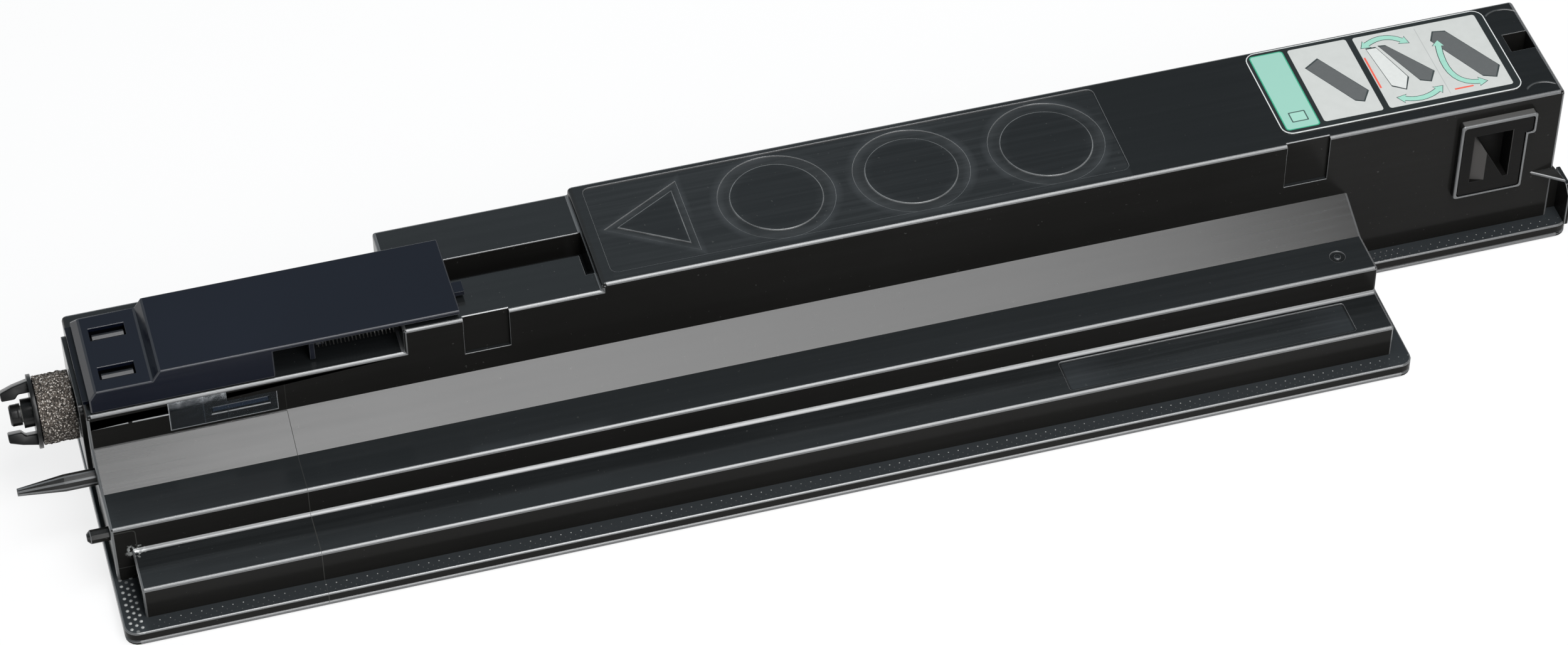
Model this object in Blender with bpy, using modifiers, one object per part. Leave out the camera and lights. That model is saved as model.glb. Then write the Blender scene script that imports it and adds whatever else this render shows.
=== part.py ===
"""Waste toner container: terraced tank, sliding inlet shutter and a driven conveying screw.

Metres, +Z up. The origin is the middle of the base. +X points to the labelled end,
+Y to the tall rear wall. The container rests on its flat base.
"""
import math

import bmesh
import bpy
from mathutils import Matrix, Vector

MM = 0.001

# Tank
BODY_LENGTH = 450.0 * MM
WALL = 2.0 * MM
REAR_Y = 45.4 * MM
TANK_FRONT_Y = 3.0 * MM
SLOPE_FOOT_Y = -10.0 * MM
TERRACE_1_Y = -24.1 * MM
TERRACE_2_Y = -39.9 * MM
RIDGE_TOP = 56.7 * MM
LEDGE_TOP = 54.0 * MM
DECK_TOP = 45.2 * MM
SLOPE_TOP = 32.2 * MM
TERRACE_1_TOP = 26.25 * MM
TERRACE_2_TOP = 16.3 * MM
DECK_LENGTH = 92.6 * MM
LEDGE_LENGTH = 58.7 * MM
TERRACE_RIGHT_INSET = 67.7 * MM
TERRACE_2_LEFT_INSET = 5.4 * MM
EDGE_ROUND = 0.9 * MM
FOOT_ROUND = 1.3 * MM
CORNER_ROUND = 1.4 * MM
CLEARANCE = 0.3 * MM
HAIR = 0.05 * MM

# Welding flange and base
FLANGE_WIDTH = 5.5 * MM
FLANGE_TOP = 4.9 * MM
FLANGE_CORNER = 4.0 * MM
FLANGE_REAR = 1.5 * MM
FLANGE_LEFT = 1.4 * MM
FLANGE_ROUND = 0.5 * MM
BASE_THICKNESS = 1.6 * MM
BASE_RIB_HEIGHT = 3.5 * MM
BASE_RIB_WALL = 1.3 * MM
BASE_RECESS = 0.5 * MM
BASE_RIM = 8.0 * MM
BASE_ROUND = 0.4 * MM
BASE_CELLS = 6
CELL_CORNER = 3.0 * MM
CELL_SPACING = 4.0 * MM
CELL_SPINE = 8.0 * MM

# Channel beside the shutter's rail
CHANNEL_FRONT_Y = 19.4 * MM
CHANNEL_REAR_Y = 28.4 * MM
CHANNEL_LEG_FRONT_Y = 11.0 * MM
CHANNEL_LEG_WIDTH = 2.6 * MM

# Inlet under the shutter
INLET_FROM_END = 8.5 * MM
INLET_LENGTH = 15.0 * MM
INLET_FRONT_Y = 12.0 * MM
INLET_WIDTH = 15.0 * MM
GASKET_MARGIN = 3.0 * MM
GASKET_THICKNESS = 0.8 * MM
GASKET_CORNER = 1.5 * MM

# Sliding shutter
SHUTTER_FROM_END = 1.7 * MM
SHUTTER_FRONT_Y = 3.4 * MM
SHUTTER_REAR_Y = 34.0 * MM
SHUTTER_FOOT_Y = 39.4 * MM
SHUTTER_WALL = 1.5 * MM
PAD_TOP = 54.0 * MM
PAD_LENGTH = 18.4 * MM
PAD_CHAMFER = 2.0 * MM
PAD_CHAMFER_HEIGHT = 3.0 * MM
SHUTTER_ROUND = 0.45 * MM
PLATE_TOP = 57.4 * MM
PLATE_STEP = 2.3 * MM
PLATE_OVER_LEDGE = 17.0 * MM
SKIRT_TO_PUSHER = 12.4 * MM
SHUTTER_TRAVEL = 23.5 * MM
LIP_WIDTH = 1.7 * MM
LIP_FRONT_Y = 7.6 * MM
LIP_REAR_Y = 38.4 * MM
LIP_HEIGHT = 1.3 * MM
SLOT_LENGTH = 10.3 * MM
SLOT_WIDTH = 4.9 * MM
SLOT_FROM_END = 4.3 * MM
SLOT_FRONT_YS = (8.1 * MM, 24.1 * MM)
HOOK_WIDTH = 1.9 * MM
HOOK_HEAD = 0.5 * MM
CARRIER_THICKNESS = 1.4 * MM
CARRIER_CORNER = 1.0 * MM
RAIL_RIB_WALL = 1.2 * MM
GATE_STUB_LENGTH = 3.0 * MM
GATE_STUB_WIDTH = 4.4 * MM
GATE_STUB_Y = 13.6 * MM

# Return spring of the shutter, partly in a blind hole of the front ledge
SPRING_SHOWN = 25.2 * MM
SPRING_HOLE_DEPTH = 16.0 * MM
SPRING_HOLE_RADIUS = 2.3 * MM
SPRING_TURNS = 38
SPRING_RADIUS = 1.6 * MM
SPRING_WIRE = 0.36 * MM
SPRING_Y = 10.0 * MM
SPRING_Z = 49.8 * MM
SPIGOT_RADIUS = 1.0 * MM
SPIGOT_LENGTH = 3.0 * MM
PUSHER_WALL = 1.6 * MM

# Conveying screw and its drive
AXIS_Y = 24.2 * MM
AXIS_Z = 30.3 * MM
SHAFT_RADIUS = 2.5 * MM
FLIGHT_RADIUS = 9.0 * MM
FLIGHT_THICKNESS = 1.2 * MM
FLIGHT_PITCH = 18.0 * MM
FLIGHT_START = 10.0 * MM
HUB_RADIUS = 4.5 * MM
HUB_INNER_LENGTH = 7.0 * MM
BUSH_WALL = 1.6 * MM
BUSH_FLANGE = 1.4 * MM
BUSH_FLANGE_RISE = 1.8 * MM
SEAL_THICKNESS = 2.0 * MM
END_PLATE = 1.3 * MM
END_PLATE_FRONT_Y = 9.0 * MM
END_PLATE_REAR_INSET = 4.4 * MM
END_PLATE_LOW = 13.0 * MM
END_PLATE_TOP_INSET = 2.2 * MM
END_PLATE_CORNER = 3.0 * MM
FOAM_LENGTH = 10.4 * MM
FOAM_RADIUS = 10.4 * MM
COUPLING_RADIUS = 11.0 * MM
COUPLING_DISC = 1.2 * MM
CLAW_LENGTH = 8.2 * MM
CLAW_INNER_RADIUS = 4.9 * MM
CLAW_OUTER_RADIUS = 8.6 * MM
CLAW_WIDTH = 5.6 * MM
CLAW_ROOT = 1.2 * MM
CLAW_ROOT_LENGTH = 3.2 * MM
CLAW_RAMP = 1.0 * MM
CLAW_BACK_LENGTH = 4.5 * MM
CLAW_ROUND = 0.3 * MM
CLAW_ANGLE = 54.0
BOSS_RADIUS = 4.3 * MM
BOSS_LENGTH = 3.0 * MM
BUTTON_RADIUS = 3.2 * MM
BUTTON_THICKNESS = 2.2 * MM
BUTTON_CHAMFER = 0.5 * MM
NECK_LENGTH = 1.4 * MM
TAIL_BOSS_LENGTH = 7.0 * MM
TAIL_BUSH_WALL = 1.5 * MM
TAIL_BUSH_PROUD = 1.0 * MM

# Locating pins on the left end
LONG_PIN_Y = 0.9 * MM
LONG_PIN_Z = 23.0 * MM
LONG_PIN_LENGTH = 21.3 * MM
LONG_PIN_RADIUS = 2.6 * MM
LONG_PIN_TIP = 1.2 * MM
LONG_PIN_STRAIGHT = 9.0 * MM
SHORT_PIN_Y = -19.5 * MM
SHORT_PIN_Z = 20.5 * MM
SHORT_PIN_LENGTH = 6.4 * MM
SHORT_PIN_RADIUS = 2.1 * MM

# Clean-out port near the right end
PORT_FROM_END = 12.6 * MM
PORT_LENGTH = 19.8 * MM
PORT_LOW = 23.3 * MM
PORT_HEIGHT = 27.5 * MM
PORT_CORNER = 1.0 * MM
COLLAR_RIM = 1.2 * MM
COLLAR_DEPTH = 2.5 * MM
COLLAR_ROUND = 0.5 * MM
PLUG_FACE = 1.5 * MM
PLUG_SEAT = 1.9 * MM
PLUG_SKIRT = 8.0 * MM
PLUG_RECESS_DEPTH = 6.0 * MM
PLUG_FRAME = 4.0 * MM
PLUG_SILL = 0.8 * MM
PLUG_RIDGE_WIDTH = 1.5 * MM
PLUG_RAMP_START = 1.5 * MM
PLUG_RAMP_ANGLE = 20.0
PLUG_TAB_LENGTH = 2.4 * MM
PLUG_TAB_HEIGHT = 5.8 * MM
PORT_GASKET = 0.6 * MM

# Small features of the shell
POCKET_LENGTH = 13.5 * MM
POCKET_DEPTH = 1.2 * MM
POCKET_LOW = 39.9 * MM
POCKET_1_X = -114.9 * MM
POCKET_2_X = 136.3 * MM
PANEL_LEFT = 4.0 * MM
PANEL_LENGTH = 158.0 * MM
PANEL_FRONT_Y = 7.0 * MM
PANEL_REAR_Y = 43.3 * MM
PANEL_DEPTH = 0.4 * MM
PANEL_CORNER = 2.0 * MM
STRIP_LEFT_X = 56.5 * MM
STRIP_LENGTH = 89.5 * MM
STRIP_FRONT_Y = -38.0 * MM
STRIP_REAR_Y = -26.2 * MM
STRIP_DEPTH = 0.35 * MM
STRIP_CORNER = 0.8 * MM
SOCKET_FROM_END = 1.2 * MM
SOCKET_LENGTH = 7.8 * MM
SOCKET_FRONT_Y = 23.7 * MM
SOCKET_WIDTH = 7.7 * MM
SOCKET_DEPTH = 10.0 * MM
SOCKET_WALL = 1.5 * MM
RAIL_SLOT_LOW = 39.9 * MM
RAIL_SLOT_HEIGHT = 2.9 * MM
RAIL_SLOT_LENGTH = 10.6 * MM
RAIL_SLOT_GAP = 1.3 * MM
RAIL_SLOT_DEPTH = 4.0 * MM
LOCK_FROM_END = 35.5 * MM
LOCK_LENGTH = 17.0 * MM
LOCK_LOW = 36.4 * MM
LOCK_HEIGHT = 2.6 * MM
LOCK_DEPTH = 3.0 * MM
LOCK_FACE_INSET = 0.5 * MM
LOCK_ROUND = 0.25 * MM
GUSSET_LENGTH = 9.0 * MM
GUSSET_TOP = 25.0 * MM
GUSSET_WALL = 1.4 * MM
GUSSET_TILT = 24.0
UPSTAND_HEIGHT = 19.0 * MM

# Tape and label
SHEET_GAP = 0.1 * MM
TAPE_THICKNESS = 0.15 * MM
TAPE_FROM_END = 23.3 * MM
TAPE_LENGTH = 31.4 * MM
TAPE_STEP_LENGTH = 16.9 * MM
TAPE_LOW = 33.4 * MM
TAPE_STEP_LOW = 40.7 * MM
LABEL_THICKNESS = 0.25 * MM
LABEL_FROM_END = 11.4 * MM
LABEL_LENGTH = 76.8 * MM
LABEL_FRONT_Y = 7.5 * MM
LABEL_REAR_Y = 44.1 * MM
LABEL_CORNER = 3.5 * MM

# Places that follow from the dimensions above
LEFT = -BODY_LENGTH / 2
RIGHT = BODY_LENGTH / 2
FRONT_Y = TERRACE_2_Y - FLANGE_WIDTH
FLANGE_BOTTOM = BASE_THICKNESS + CLEARANCE
DECK_END = LEFT + DECK_LENGTH
RIDGE_START = DECK_END + LEDGE_LENGTH
TERRACE_RIGHT = RIGHT - TERRACE_RIGHT_INSET
TERRACE_2_LEFT = LEFT + TERRACE_2_LEFT_INSET
SHUTTER_LEFT = LEFT + SHUTTER_FROM_END
SHUTTER_BOTTOM = DECK_TOP + 2 * CLEARANCE
PAD_RIGHT = SHUTTER_LEFT + PAD_LENGTH
PLATE_RIGHT = DECK_END + PLATE_OVER_LEDGE
INLET_LEFT = LEFT + INLET_FROM_END
INLET_RIGHT = INLET_LEFT + INLET_LENGTH
INLET_REAR_Y = INLET_FRONT_Y + INLET_WIDTH
GASKET_TOP = DECK_TOP + CLEARANCE
GASKET_SEAT = GASKET_TOP - GASKET_THICKNESS - CLEARANCE
CARRIER_BOTTOM = GASKET_TOP + CLEARANCE
PUSHER_RIGHT = DECK_END - SPRING_SHOWN
SKIRT_RIGHT = PUSHER_RIGHT - SKIRT_TO_PUSHER
SPRING_HOLE_END = DECK_END + SPRING_HOLE_DEPTH
OUTER_LEFT = LEFT - END_PLATE
DISC_RIGHT = OUTER_LEFT - FOAM_LENGTH - 2 * CLEARANCE
DISC_LEFT = DISC_RIGHT - COUPLING_DISC
BOSS_LEFT = DISC_LEFT - BOSS_LENGTH
SHAFT_LEFT = BOSS_LEFT - NECK_LENGTH - BUTTON_THICKNESS
TAIL_X = RIGHT - WALL - CLEARANCE
FLIGHT_LEFT = LEFT + WALL + FLIGHT_START
FLIGHT_ROOM = RIGHT - WALL - TAIL_BOSS_LENGTH - 2 * WALL - FLIGHT_LEFT
FLIGHT_TURNS = int(FLIGHT_ROOM / FLIGHT_PITCH)
PORT_RIGHT = RIGHT - PORT_FROM_END
PORT_LEFT = PORT_RIGHT - PORT_LENGTH
PORT_TOP = PORT_LOW + PORT_HEIGHT
COLLAR_FRONT_Y = TANK_FRONT_Y - COLLAR_DEPTH
SEAT_Y = COLLAR_FRONT_Y + CLEARANCE + PLUG_FACE + CLEARANCE + PORT_GASKET
PLUG_MARGIN = 2.0 * MM
OVERLAP = 0.5 * MM
FAR = 200.0 * MM

COLLECTION = "waste_toner_container"
CUTTERS = "cutters"


def fresh_scene():
    """Empty the scene and make the two collections."""
    for thing in list(bpy.data.objects):
        bpy.data.objects.remove(thing)
    for name in (COLLECTION, CUTTERS):
        bpy.context.scene.collection.children.link(bpy.data.collections.new(name))


def material(name, colour, roughness, metallic=0.0, alpha=1.0):
    """Principled material of a piece."""
    made = bpy.data.materials.new(name)
    made.use_nodes = True
    shader = made.node_tree.nodes["Principled BSDF"]
    shader.inputs["Base Color"].default_value = (*colour, 1.0)
    shader.inputs["Roughness"].default_value = roughness
    shader.inputs["Metallic"].default_value = metallic
    shader.inputs["Alpha"].default_value = alpha
    return made


def place(thing, collection):
    """Move an object into one collection."""
    for other in list(thing.users_collection):
        other.objects.unlink(thing)
    bpy.data.collections[collection].objects.link(thing)


def piece(thing, finish):
    """Keep an object as a piece of the container, with its material."""
    place(thing, COLLECTION)
    thing.data.materials.clear()
    thing.data.materials.append(finish)
    thing.data.shade_smooth()
    thing.data.set_sharp_from_angle(angle=math.radians(30))
    return thing


def tool(thing):
    """Keep an object only to shape others."""
    place(thing, CUTTERS)
    thing.hide_render = True
    thing.display_type = "WIRE"
    return thing


def shape(target, other, operation):
    """Add a live Boolean of another object to a target."""
    tool(other)
    boolean = target.modifiers.new(other.name, "BOOLEAN")
    boolean.operation = operation
    boolean.object = other
    boolean.solver = "EXACT"


def join(target, *others):
    """Fuse other solids into a target."""
    for other in others:
        shape(target, other, "UNION")


def cut(target, *others):
    """Cut other solids out of a target."""
    for other in others:
        shape(target, other, "DIFFERENCE")


def soften(thing, width=EDGE_ROUND, segments=2):
    """Round the sharp edges of a solid."""
    bevel = thing.modifiers.new("edge", "BEVEL")
    bevel.width = width
    bevel.segments = segments
    bevel.limit_method = "ANGLE"
    bevel.angle_limit = math.radians(40)
    return thing


def rounded(points, radii, steps=3):
    """Outline with each corner replaced by an arc of its own radius."""
    outline = []
    count = len(points)
    for index, radius in enumerate(radii):
        corner = Vector(points[index])
        if radius <= 0:
            outline.append(tuple(corner))
            continue
        before = (Vector(points[index - 1]) - corner).normalized()
        after = (Vector(points[(index + 1) % count]) - corner).normalized()
        half = before.angle(after) / 2
        start = corner + before * radius / math.tan(half)
        end = corner + after * radius / math.tan(half)
        centre = corner + (before + after).normalized() * radius / math.sin(half)
        first = start - centre
        sweep = first.angle_signed(end - centre)
        for step in range(steps + 1):
            turn = Matrix.Rotation(-sweep * step / steps, 2)
            outline.append(tuple(centre + turn @ first))
    return outline


def plane_matrix(plane):
    """Turn an outline's own axes into the named plane of the container."""
    if plane == "XZ":
        return Matrix.Rotation(math.radians(90), 4, "X")
    if plane == "YZ":
        return Matrix(((0, 0, 1, 0), (1, 0, 0, 0), (0, 1, 0, 0), (0, 0, 0, 1)))
    return Matrix.Identity(4)


def prism(name, outlines, low, high, plane="XY"):
    """Solid between two parallel planes, from flat outlines; inner outlines are holes.

    The outline is drawn in millimetres, so that its small corners fill cleanly.
    """
    curve = bpy.data.curves.new(name, "CURVE")
    curve.dimensions = "2D"
    curve.fill_mode = "BOTH"
    curve.extrude = (high - low) / 2 / MM
    if not isinstance(outlines[0], list):
        outlines = [outlines]
    for outline in outlines:
        spline = curve.splines.new("POLY")
        spline.points.add(len(outline) - 1)
        spline.use_cyclic_u = True
        for point, (across, up) in zip(spline.points, outline):
            point.co = (across / MM, up / MM, 0.0, 1.0)
    middle = (low + high) / 2
    shift = -middle if plane == "XZ" else middle
    flat = bpy.data.objects.new(name, curve)
    bpy.context.scene.collection.objects.link(flat)
    bpy.context.view_layer.update()
    evaluated = flat.evaluated_get(bpy.context.evaluated_depsgraph_get())
    mesh = bpy.data.meshes.new_from_object(evaluated)
    bpy.data.objects.remove(flat)
    bpy.data.curves.remove(curve)
    to_metres = Matrix.Scale(MM, 4)
    mesh.transform(plane_matrix(plane) @ Matrix.Translation((0, 0, shift)) @ to_metres)
    tidy(mesh)
    solid = bpy.data.objects.new(name, mesh)
    bpy.context.scene.collection.objects.link(solid)
    return solid


def tidy(mesh):
    """Weld a mesh, merge its flat neighbours and turn its faces outwards."""
    work = bmesh.new()
    work.from_mesh(mesh)
    bmesh.ops.remove_doubles(work, verts=work.verts, dist=1e-6)
    bmesh.ops.dissolve_limit(
        work, angle_limit=math.radians(0.5), verts=work.verts, edges=work.edges
    )
    bmesh.ops.recalc_face_normals(work, faces=work.faces)
    work.to_mesh(mesh)
    work.free()


def box(name, x, y, z):
    """Block between two corners, given as (low, high) pairs."""
    mesh = bpy.data.meshes.new(name)
    work = bmesh.new()
    bmesh.ops.create_cube(work, size=1.0)
    size = Matrix.Diagonal((x[1] - x[0], y[1] - y[0], z[1] - z[0], 1.0))
    middle = Matrix.Translation(((x[0] + x[1]) / 2, (y[0] + y[1]) / 2, (z[0] + z[1]) / 2))
    work.transform(middle @ size)
    work.to_mesh(mesh)
    work.free()
    block = bpy.data.objects.new(name, mesh)
    bpy.context.scene.collection.objects.link(block)
    return block


def turned(name, profile, y, z, segments=24, closed=False, turn=0.0):
    """Solid of revolution about a line along X: the profile lists (x, radius) from +X to -X."""
    mesh = bpy.data.meshes.new(name)
    verts = [(radius, 0.0, along) for along, radius in profile]
    edges = [(index, index + 1) for index in range(len(verts) - 1)]
    if closed:
        edges.append((len(verts) - 1, 0))
    mesh.from_pydata(verts, edges, [])
    solid = bpy.data.objects.new(name, mesh)
    bpy.context.scene.collection.objects.link(solid)
    quarter = Matrix.Rotation(math.radians(90), 4, "Y")
    solid.matrix_world = Matrix.Translation((0, y, z)) @ quarter @ Matrix.Rotation(turn, 4, "Z")
    screw = solid.modifiers.new("turn", "SCREW")
    screw.steps = segments
    screw.render_steps = segments
    screw.use_merge_vertices = True
    screw.merge_threshold = 1e-6
    return solid


def rod(name, x, radius, y, z, segments=24):
    """Plain cylinder along X."""
    low, high = x
    return turned(name, [(high, 0), (high, radius), (low, radius), (low, 0)], y, z, segments)


def ring(name, x, radii, y, z, segments=24):
    """Plain ring along X."""
    low, high = x
    inner, outer = radii
    profile = [(high, inner), (high, outer), (low, outer), (low, inner)]
    return turned(name, profile, y, z, segments, closed=True)


def solid_mesh(thing, name):
    """Bake an object's modifiers and placement into a mesh object of its own."""
    bpy.context.view_layer.update()
    evaluated = thing.evaluated_get(bpy.context.evaluated_depsgraph_get())
    mesh = bpy.data.meshes.new_from_object(evaluated)
    mesh.transform(thing.matrix_world)
    bpy.data.objects.remove(thing)
    baked = bpy.data.objects.new(name, mesh)
    bpy.context.scene.collection.objects.link(baked)
    return baked


def gather(name, *solids):
    """One object from solids that don't touch each other."""
    work = bmesh.new()
    for solid in solids:
        baked = solid_mesh(solid, name)
        work.from_mesh(baked.data)
        bpy.data.objects.remove(baked)
    mesh = bpy.data.meshes.new(name)
    work.to_mesh(mesh)
    work.free()
    group = bpy.data.objects.new(name, mesh)
    bpy.context.scene.collection.objects.link(group)
    return group


def rectangle(low, high, radius=0.0, steps=3):
    """Rectangular outline with equal corner arcs."""
    points = [low, (high[0], low[1]), high, (low[0], high[1])]
    return rounded(points, [radius] * 4, steps)


def inlet_outline(grow):
    """Plan of the inlet, moved outwards."""
    low = (INLET_LEFT - grow, INLET_FRONT_Y - grow)
    high = (INLET_RIGHT + grow, INLET_REAR_Y + grow)
    return rectangle(low, high, GASKET_CORNER)


def tank_outline():
    """Front view of the tall tank: deck, ledge and ridge steps."""
    points = [
        (LEFT, -WALL),
        (RIGHT, -WALL),
        (RIGHT, RIDGE_TOP),
        (RIDGE_START, RIDGE_TOP),
        (RIDGE_START, LEDGE_TOP),
        (DECK_END, LEDGE_TOP),
        (DECK_END, DECK_TOP),
        (LEFT, DECK_TOP),
    ]
    radii = [0, 0, CORNER_ROUND, CORNER_ROUND, 0, EDGE_ROUND, 0, CORNER_ROUND]
    return rounded(points, radii)


def slope_drop(wall):
    """Height lost by a point on the slope's inner face for a wall measured square to it."""
    run = TANK_FRONT_Y - SLOPE_FOOT_Y
    fall = SLOPE_TOP - TERRACE_1_TOP
    return wall * math.hypot(run, fall) / run


def slope_outline(wall):
    """End view of the slope and the upper terrace, moved inwards by a wall."""
    run = TANK_FRONT_Y - SLOPE_FOOT_Y
    fall = SLOPE_TOP - TERRACE_1_TOP
    foot_y = SLOPE_FOOT_Y + (slope_drop(wall) - wall) * run / fall
    back_y = TANK_FRONT_Y + 2 * WALL
    high = SLOPE_TOP - slope_drop(wall)
    points = [
        (back_y, -1.5 * WALL),
        (back_y, high),
        (TANK_FRONT_Y, high),
        (foot_y, TERRACE_1_TOP - wall),
        (TERRACE_1_Y + wall, TERRACE_1_TOP - wall),
        (TERRACE_1_Y + wall, -1.5 * WALL),
    ]
    return rounded(points, [0, 0, 0, 0, EDGE_ROUND if wall == 0 else 0, 0])


def lower_terrace_outline():
    """End view of the lower terrace, with its rounded edge and the fillet at its foot."""
    inside = TERRACE_1_Y + WALL
    foot = TERRACE_1_Y + 2 * HAIR
    points = [
        (inside, -WALL),
        (inside, TERRACE_2_TOP + FOOT_ROUND),
        (foot, TERRACE_2_TOP + FOOT_ROUND),
        (foot, TERRACE_2_TOP),
        (TERRACE_2_Y, TERRACE_2_TOP),
        (TERRACE_2_Y, -WALL),
    ]
    return rounded(points, [0, 0, 0, FOOT_ROUND, EDGE_ROUND, 0])


def flange_outline(shrink=0.0):
    """Plan of the welding flange, shared by the shell and the base."""
    narrow_y = TANK_FRONT_Y - FLANGE_WIDTH + shrink
    low_x = LEFT - FLANGE_LEFT + shrink
    high_x = RIGHT + FLANGE_WIDTH - shrink
    step_x = TERRACE_RIGHT + FLANGE_WIDTH - shrink
    points = [
        (low_x, FRONT_Y + shrink),
        (step_x, FRONT_Y + shrink),
        (step_x, narrow_y),
        (high_x, narrow_y),
        (high_x, REAR_Y + FLANGE_REAR - shrink),
        (low_x, REAR_Y + FLANGE_REAR - shrink),
    ]
    corner = FLANGE_CORNER - shrink
    return rounded(points, [corner, corner, 0, corner, corner / 2, corner / 2], steps=5)


def make_tank_solids():
    """Outer solids of the shell; ends that would meet flush are set back by a hair."""
    tank = prism("shell", tank_outline(), TANK_FRONT_Y, REAR_Y, "XZ")
    soften(tank, segments=3)
    upper = prism("upper_terrace", slope_outline(0), LEFT + HAIR, TERRACE_RIGHT, "YZ")
    soften(upper)
    lower = prism("lower_terrace", lower_terrace_outline(), TERRACE_2_LEFT, TERRACE_RIGHT - HAIR, "YZ")
    soften(lower)
    flange = prism("flange", flange_outline(), -WALL / 2, FLANGE_TOP)
    soften(flange, FLANGE_ROUND)
    join(tank, upper, lower, flange)
    below = box("below_seam", (-FAR * 2, FAR * 2), (-FAR, FAR), (-FAR, FLANGE_BOTTOM))
    cut(tank, below)
    plate_outline = rectangle(
        (END_PLATE_FRONT_Y, END_PLATE_LOW),
        (REAR_Y - END_PLATE_REAR_INSET, DECK_TOP - END_PLATE_TOP_INSET),
        END_PLATE_CORNER,
    )
    plate = prism("end_plate", plate_outline, OUTER_LEFT, LEFT + OVERLAP, "YZ")
    join(tank, plate)
    return tank


def cut_tank_hollow(tank):
    """Hollow the shell to its wall, open at the bottom."""
    inner_front = TANK_FRONT_Y + WALL
    inner_rear = REAR_Y - WALL
    low = -OVERLAP
    hollow = box("hollow", (LEFT + WALL, RIGHT - WALL), (inner_front, inner_rear), (low, DECK_TOP - WALL))
    ridge = box(
        "ridge_hollow",
        (RIDGE_START + WALL, RIGHT - WALL),
        (inner_front, inner_rear),
        (DECK_TOP - 2 * WALL, RIDGE_TOP - WALL),
    )
    front = box(
        "front_ledge_hollow",
        (SPRING_HOLE_END + WALL, RIDGE_START - CHANNEL_LEG_WIDTH - WALL),
        (inner_front, CHANNEL_FRONT_Y - WALL),
        (DECK_TOP - 2 * WALL, LEDGE_TOP - WALL),
    )
    rear = box(
        "rear_ledge_hollow",
        (DECK_END + WALL, RIDGE_START + WALL + OVERLAP),
        (CHANNEL_REAR_Y + WALL, inner_rear),
        (DECK_TOP - 2 * WALL, LEDGE_TOP - WALL),
    )
    upper = prism("upper_terrace_hollow", slope_outline(WALL), LEFT + WALL, TERRACE_RIGHT - WALL, "YZ")
    lower = box(
        "lower_terrace_hollow",
        (TERRACE_2_LEFT + WALL, TERRACE_RIGHT - WALL),
        (TERRACE_2_Y + WALL, TERRACE_1_Y + 2 * WALL),
        (low, TERRACE_2_TOP - WALL),
    )
    join(hollow, ridge, front, rear, upper, lower)
    cut(tank, hollow)


def cut_channel(tank):
    """Open channel between the ledges, with its short leg at the ridge."""
    right = RIDGE_START - CLEARANCE
    outline = [
        (DECK_END - OVERLAP, CHANNEL_FRONT_Y),
        (right - CHANNEL_LEG_WIDTH, CHANNEL_FRONT_Y),
        (right - CHANNEL_LEG_WIDTH, CHANNEL_LEG_FRONT_Y),
        (right, CHANNEL_LEG_FRONT_Y),
        (right, CHANNEL_REAR_Y),
        (DECK_END - OVERLAP, CHANNEL_REAR_Y),
    ]
    cut(tank, prism("channel", outline, DECK_TOP, LEDGE_TOP + 2 * WALL))


def add_inner_blocks(tank):
    """Blocks behind the wall that carry the slots, the lock window, the socket and the tail bush."""
    inner = TANK_FRONT_Y + WALL - OVERLAP
    slots_right = LEFT + WALL + 2 * RAIL_SLOT_LENGTH + RAIL_SLOT_GAP + WALL
    slot_block = box(
        "slot_block",
        (LEFT + OVERLAP, slots_right),
        (inner, TANK_FRONT_Y + RAIL_SLOT_DEPTH + WALL),
        (RAIL_SLOT_LOW - WALL, DECK_TOP - OVERLAP),
    )
    lock_left = LEFT + LOCK_FROM_END
    lock_block = box(
        "lock_block",
        (lock_left - WALL, lock_left + LOCK_LENGTH + WALL),
        (inner, TANK_FRONT_Y + LOCK_DEPTH + WALL),
        (LOCK_LOW - WALL, DECK_TOP - OVERLAP),
    )
    socket_right = RIGHT - SOCKET_FROM_END
    socket_block = box(
        "socket_block",
        (socket_right - SOCKET_LENGTH - SOCKET_WALL, RIGHT - OVERLAP),
        (SOCKET_FRONT_Y - SOCKET_WALL, SOCKET_FRONT_Y + SOCKET_WIDTH + SOCKET_WALL),
        (RIDGE_TOP - SOCKET_DEPTH - SOCKET_WALL, RIDGE_TOP - OVERLAP),
    )
    tail_bore = SHAFT_RADIUS + CLEARANCE + TAIL_BUSH_WALL + CLEARANCE
    tail_block = ring(
        "tail_block",
        (RIGHT - WALL - TAIL_BOSS_LENGTH, RIGHT - OVERLAP),
        (tail_bore, tail_bore + WALL),
        AXIS_Y,
        AXIS_Z,
    )
    join(tank, gather("inner_blocks", slot_block, lock_block, socket_block, tail_block))
    slot_low = LEFT + WALL / 2
    openings = []
    for index in range(2):
        start = slot_low + index * (RAIL_SLOT_LENGTH + RAIL_SLOT_GAP)
        slot = box(
            f"rail_slot_{index + 1}",
            (start, start + RAIL_SLOT_LENGTH),
            (-FAR, TANK_FRONT_Y + RAIL_SLOT_DEPTH),
            (RAIL_SLOT_LOW, RAIL_SLOT_LOW + RAIL_SLOT_HEIGHT),
        )
        openings.append(slot)
    window = box(
        "lock_window",
        (lock_left, lock_left + LOCK_LENGTH),
        (-FAR, TANK_FRONT_Y + LOCK_DEPTH),
        (LOCK_LOW, LOCK_LOW + LOCK_HEIGHT),
    )
    socket = box(
        "socket",
        (socket_right - SOCKET_LENGTH, socket_right),
        (SOCKET_FRONT_Y, SOCKET_FRONT_Y + SOCKET_WIDTH),
        (RIDGE_TOP - SOCKET_DEPTH, FAR),
    )
    cut(tank, gather("block_openings", window, socket, *openings))


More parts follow.
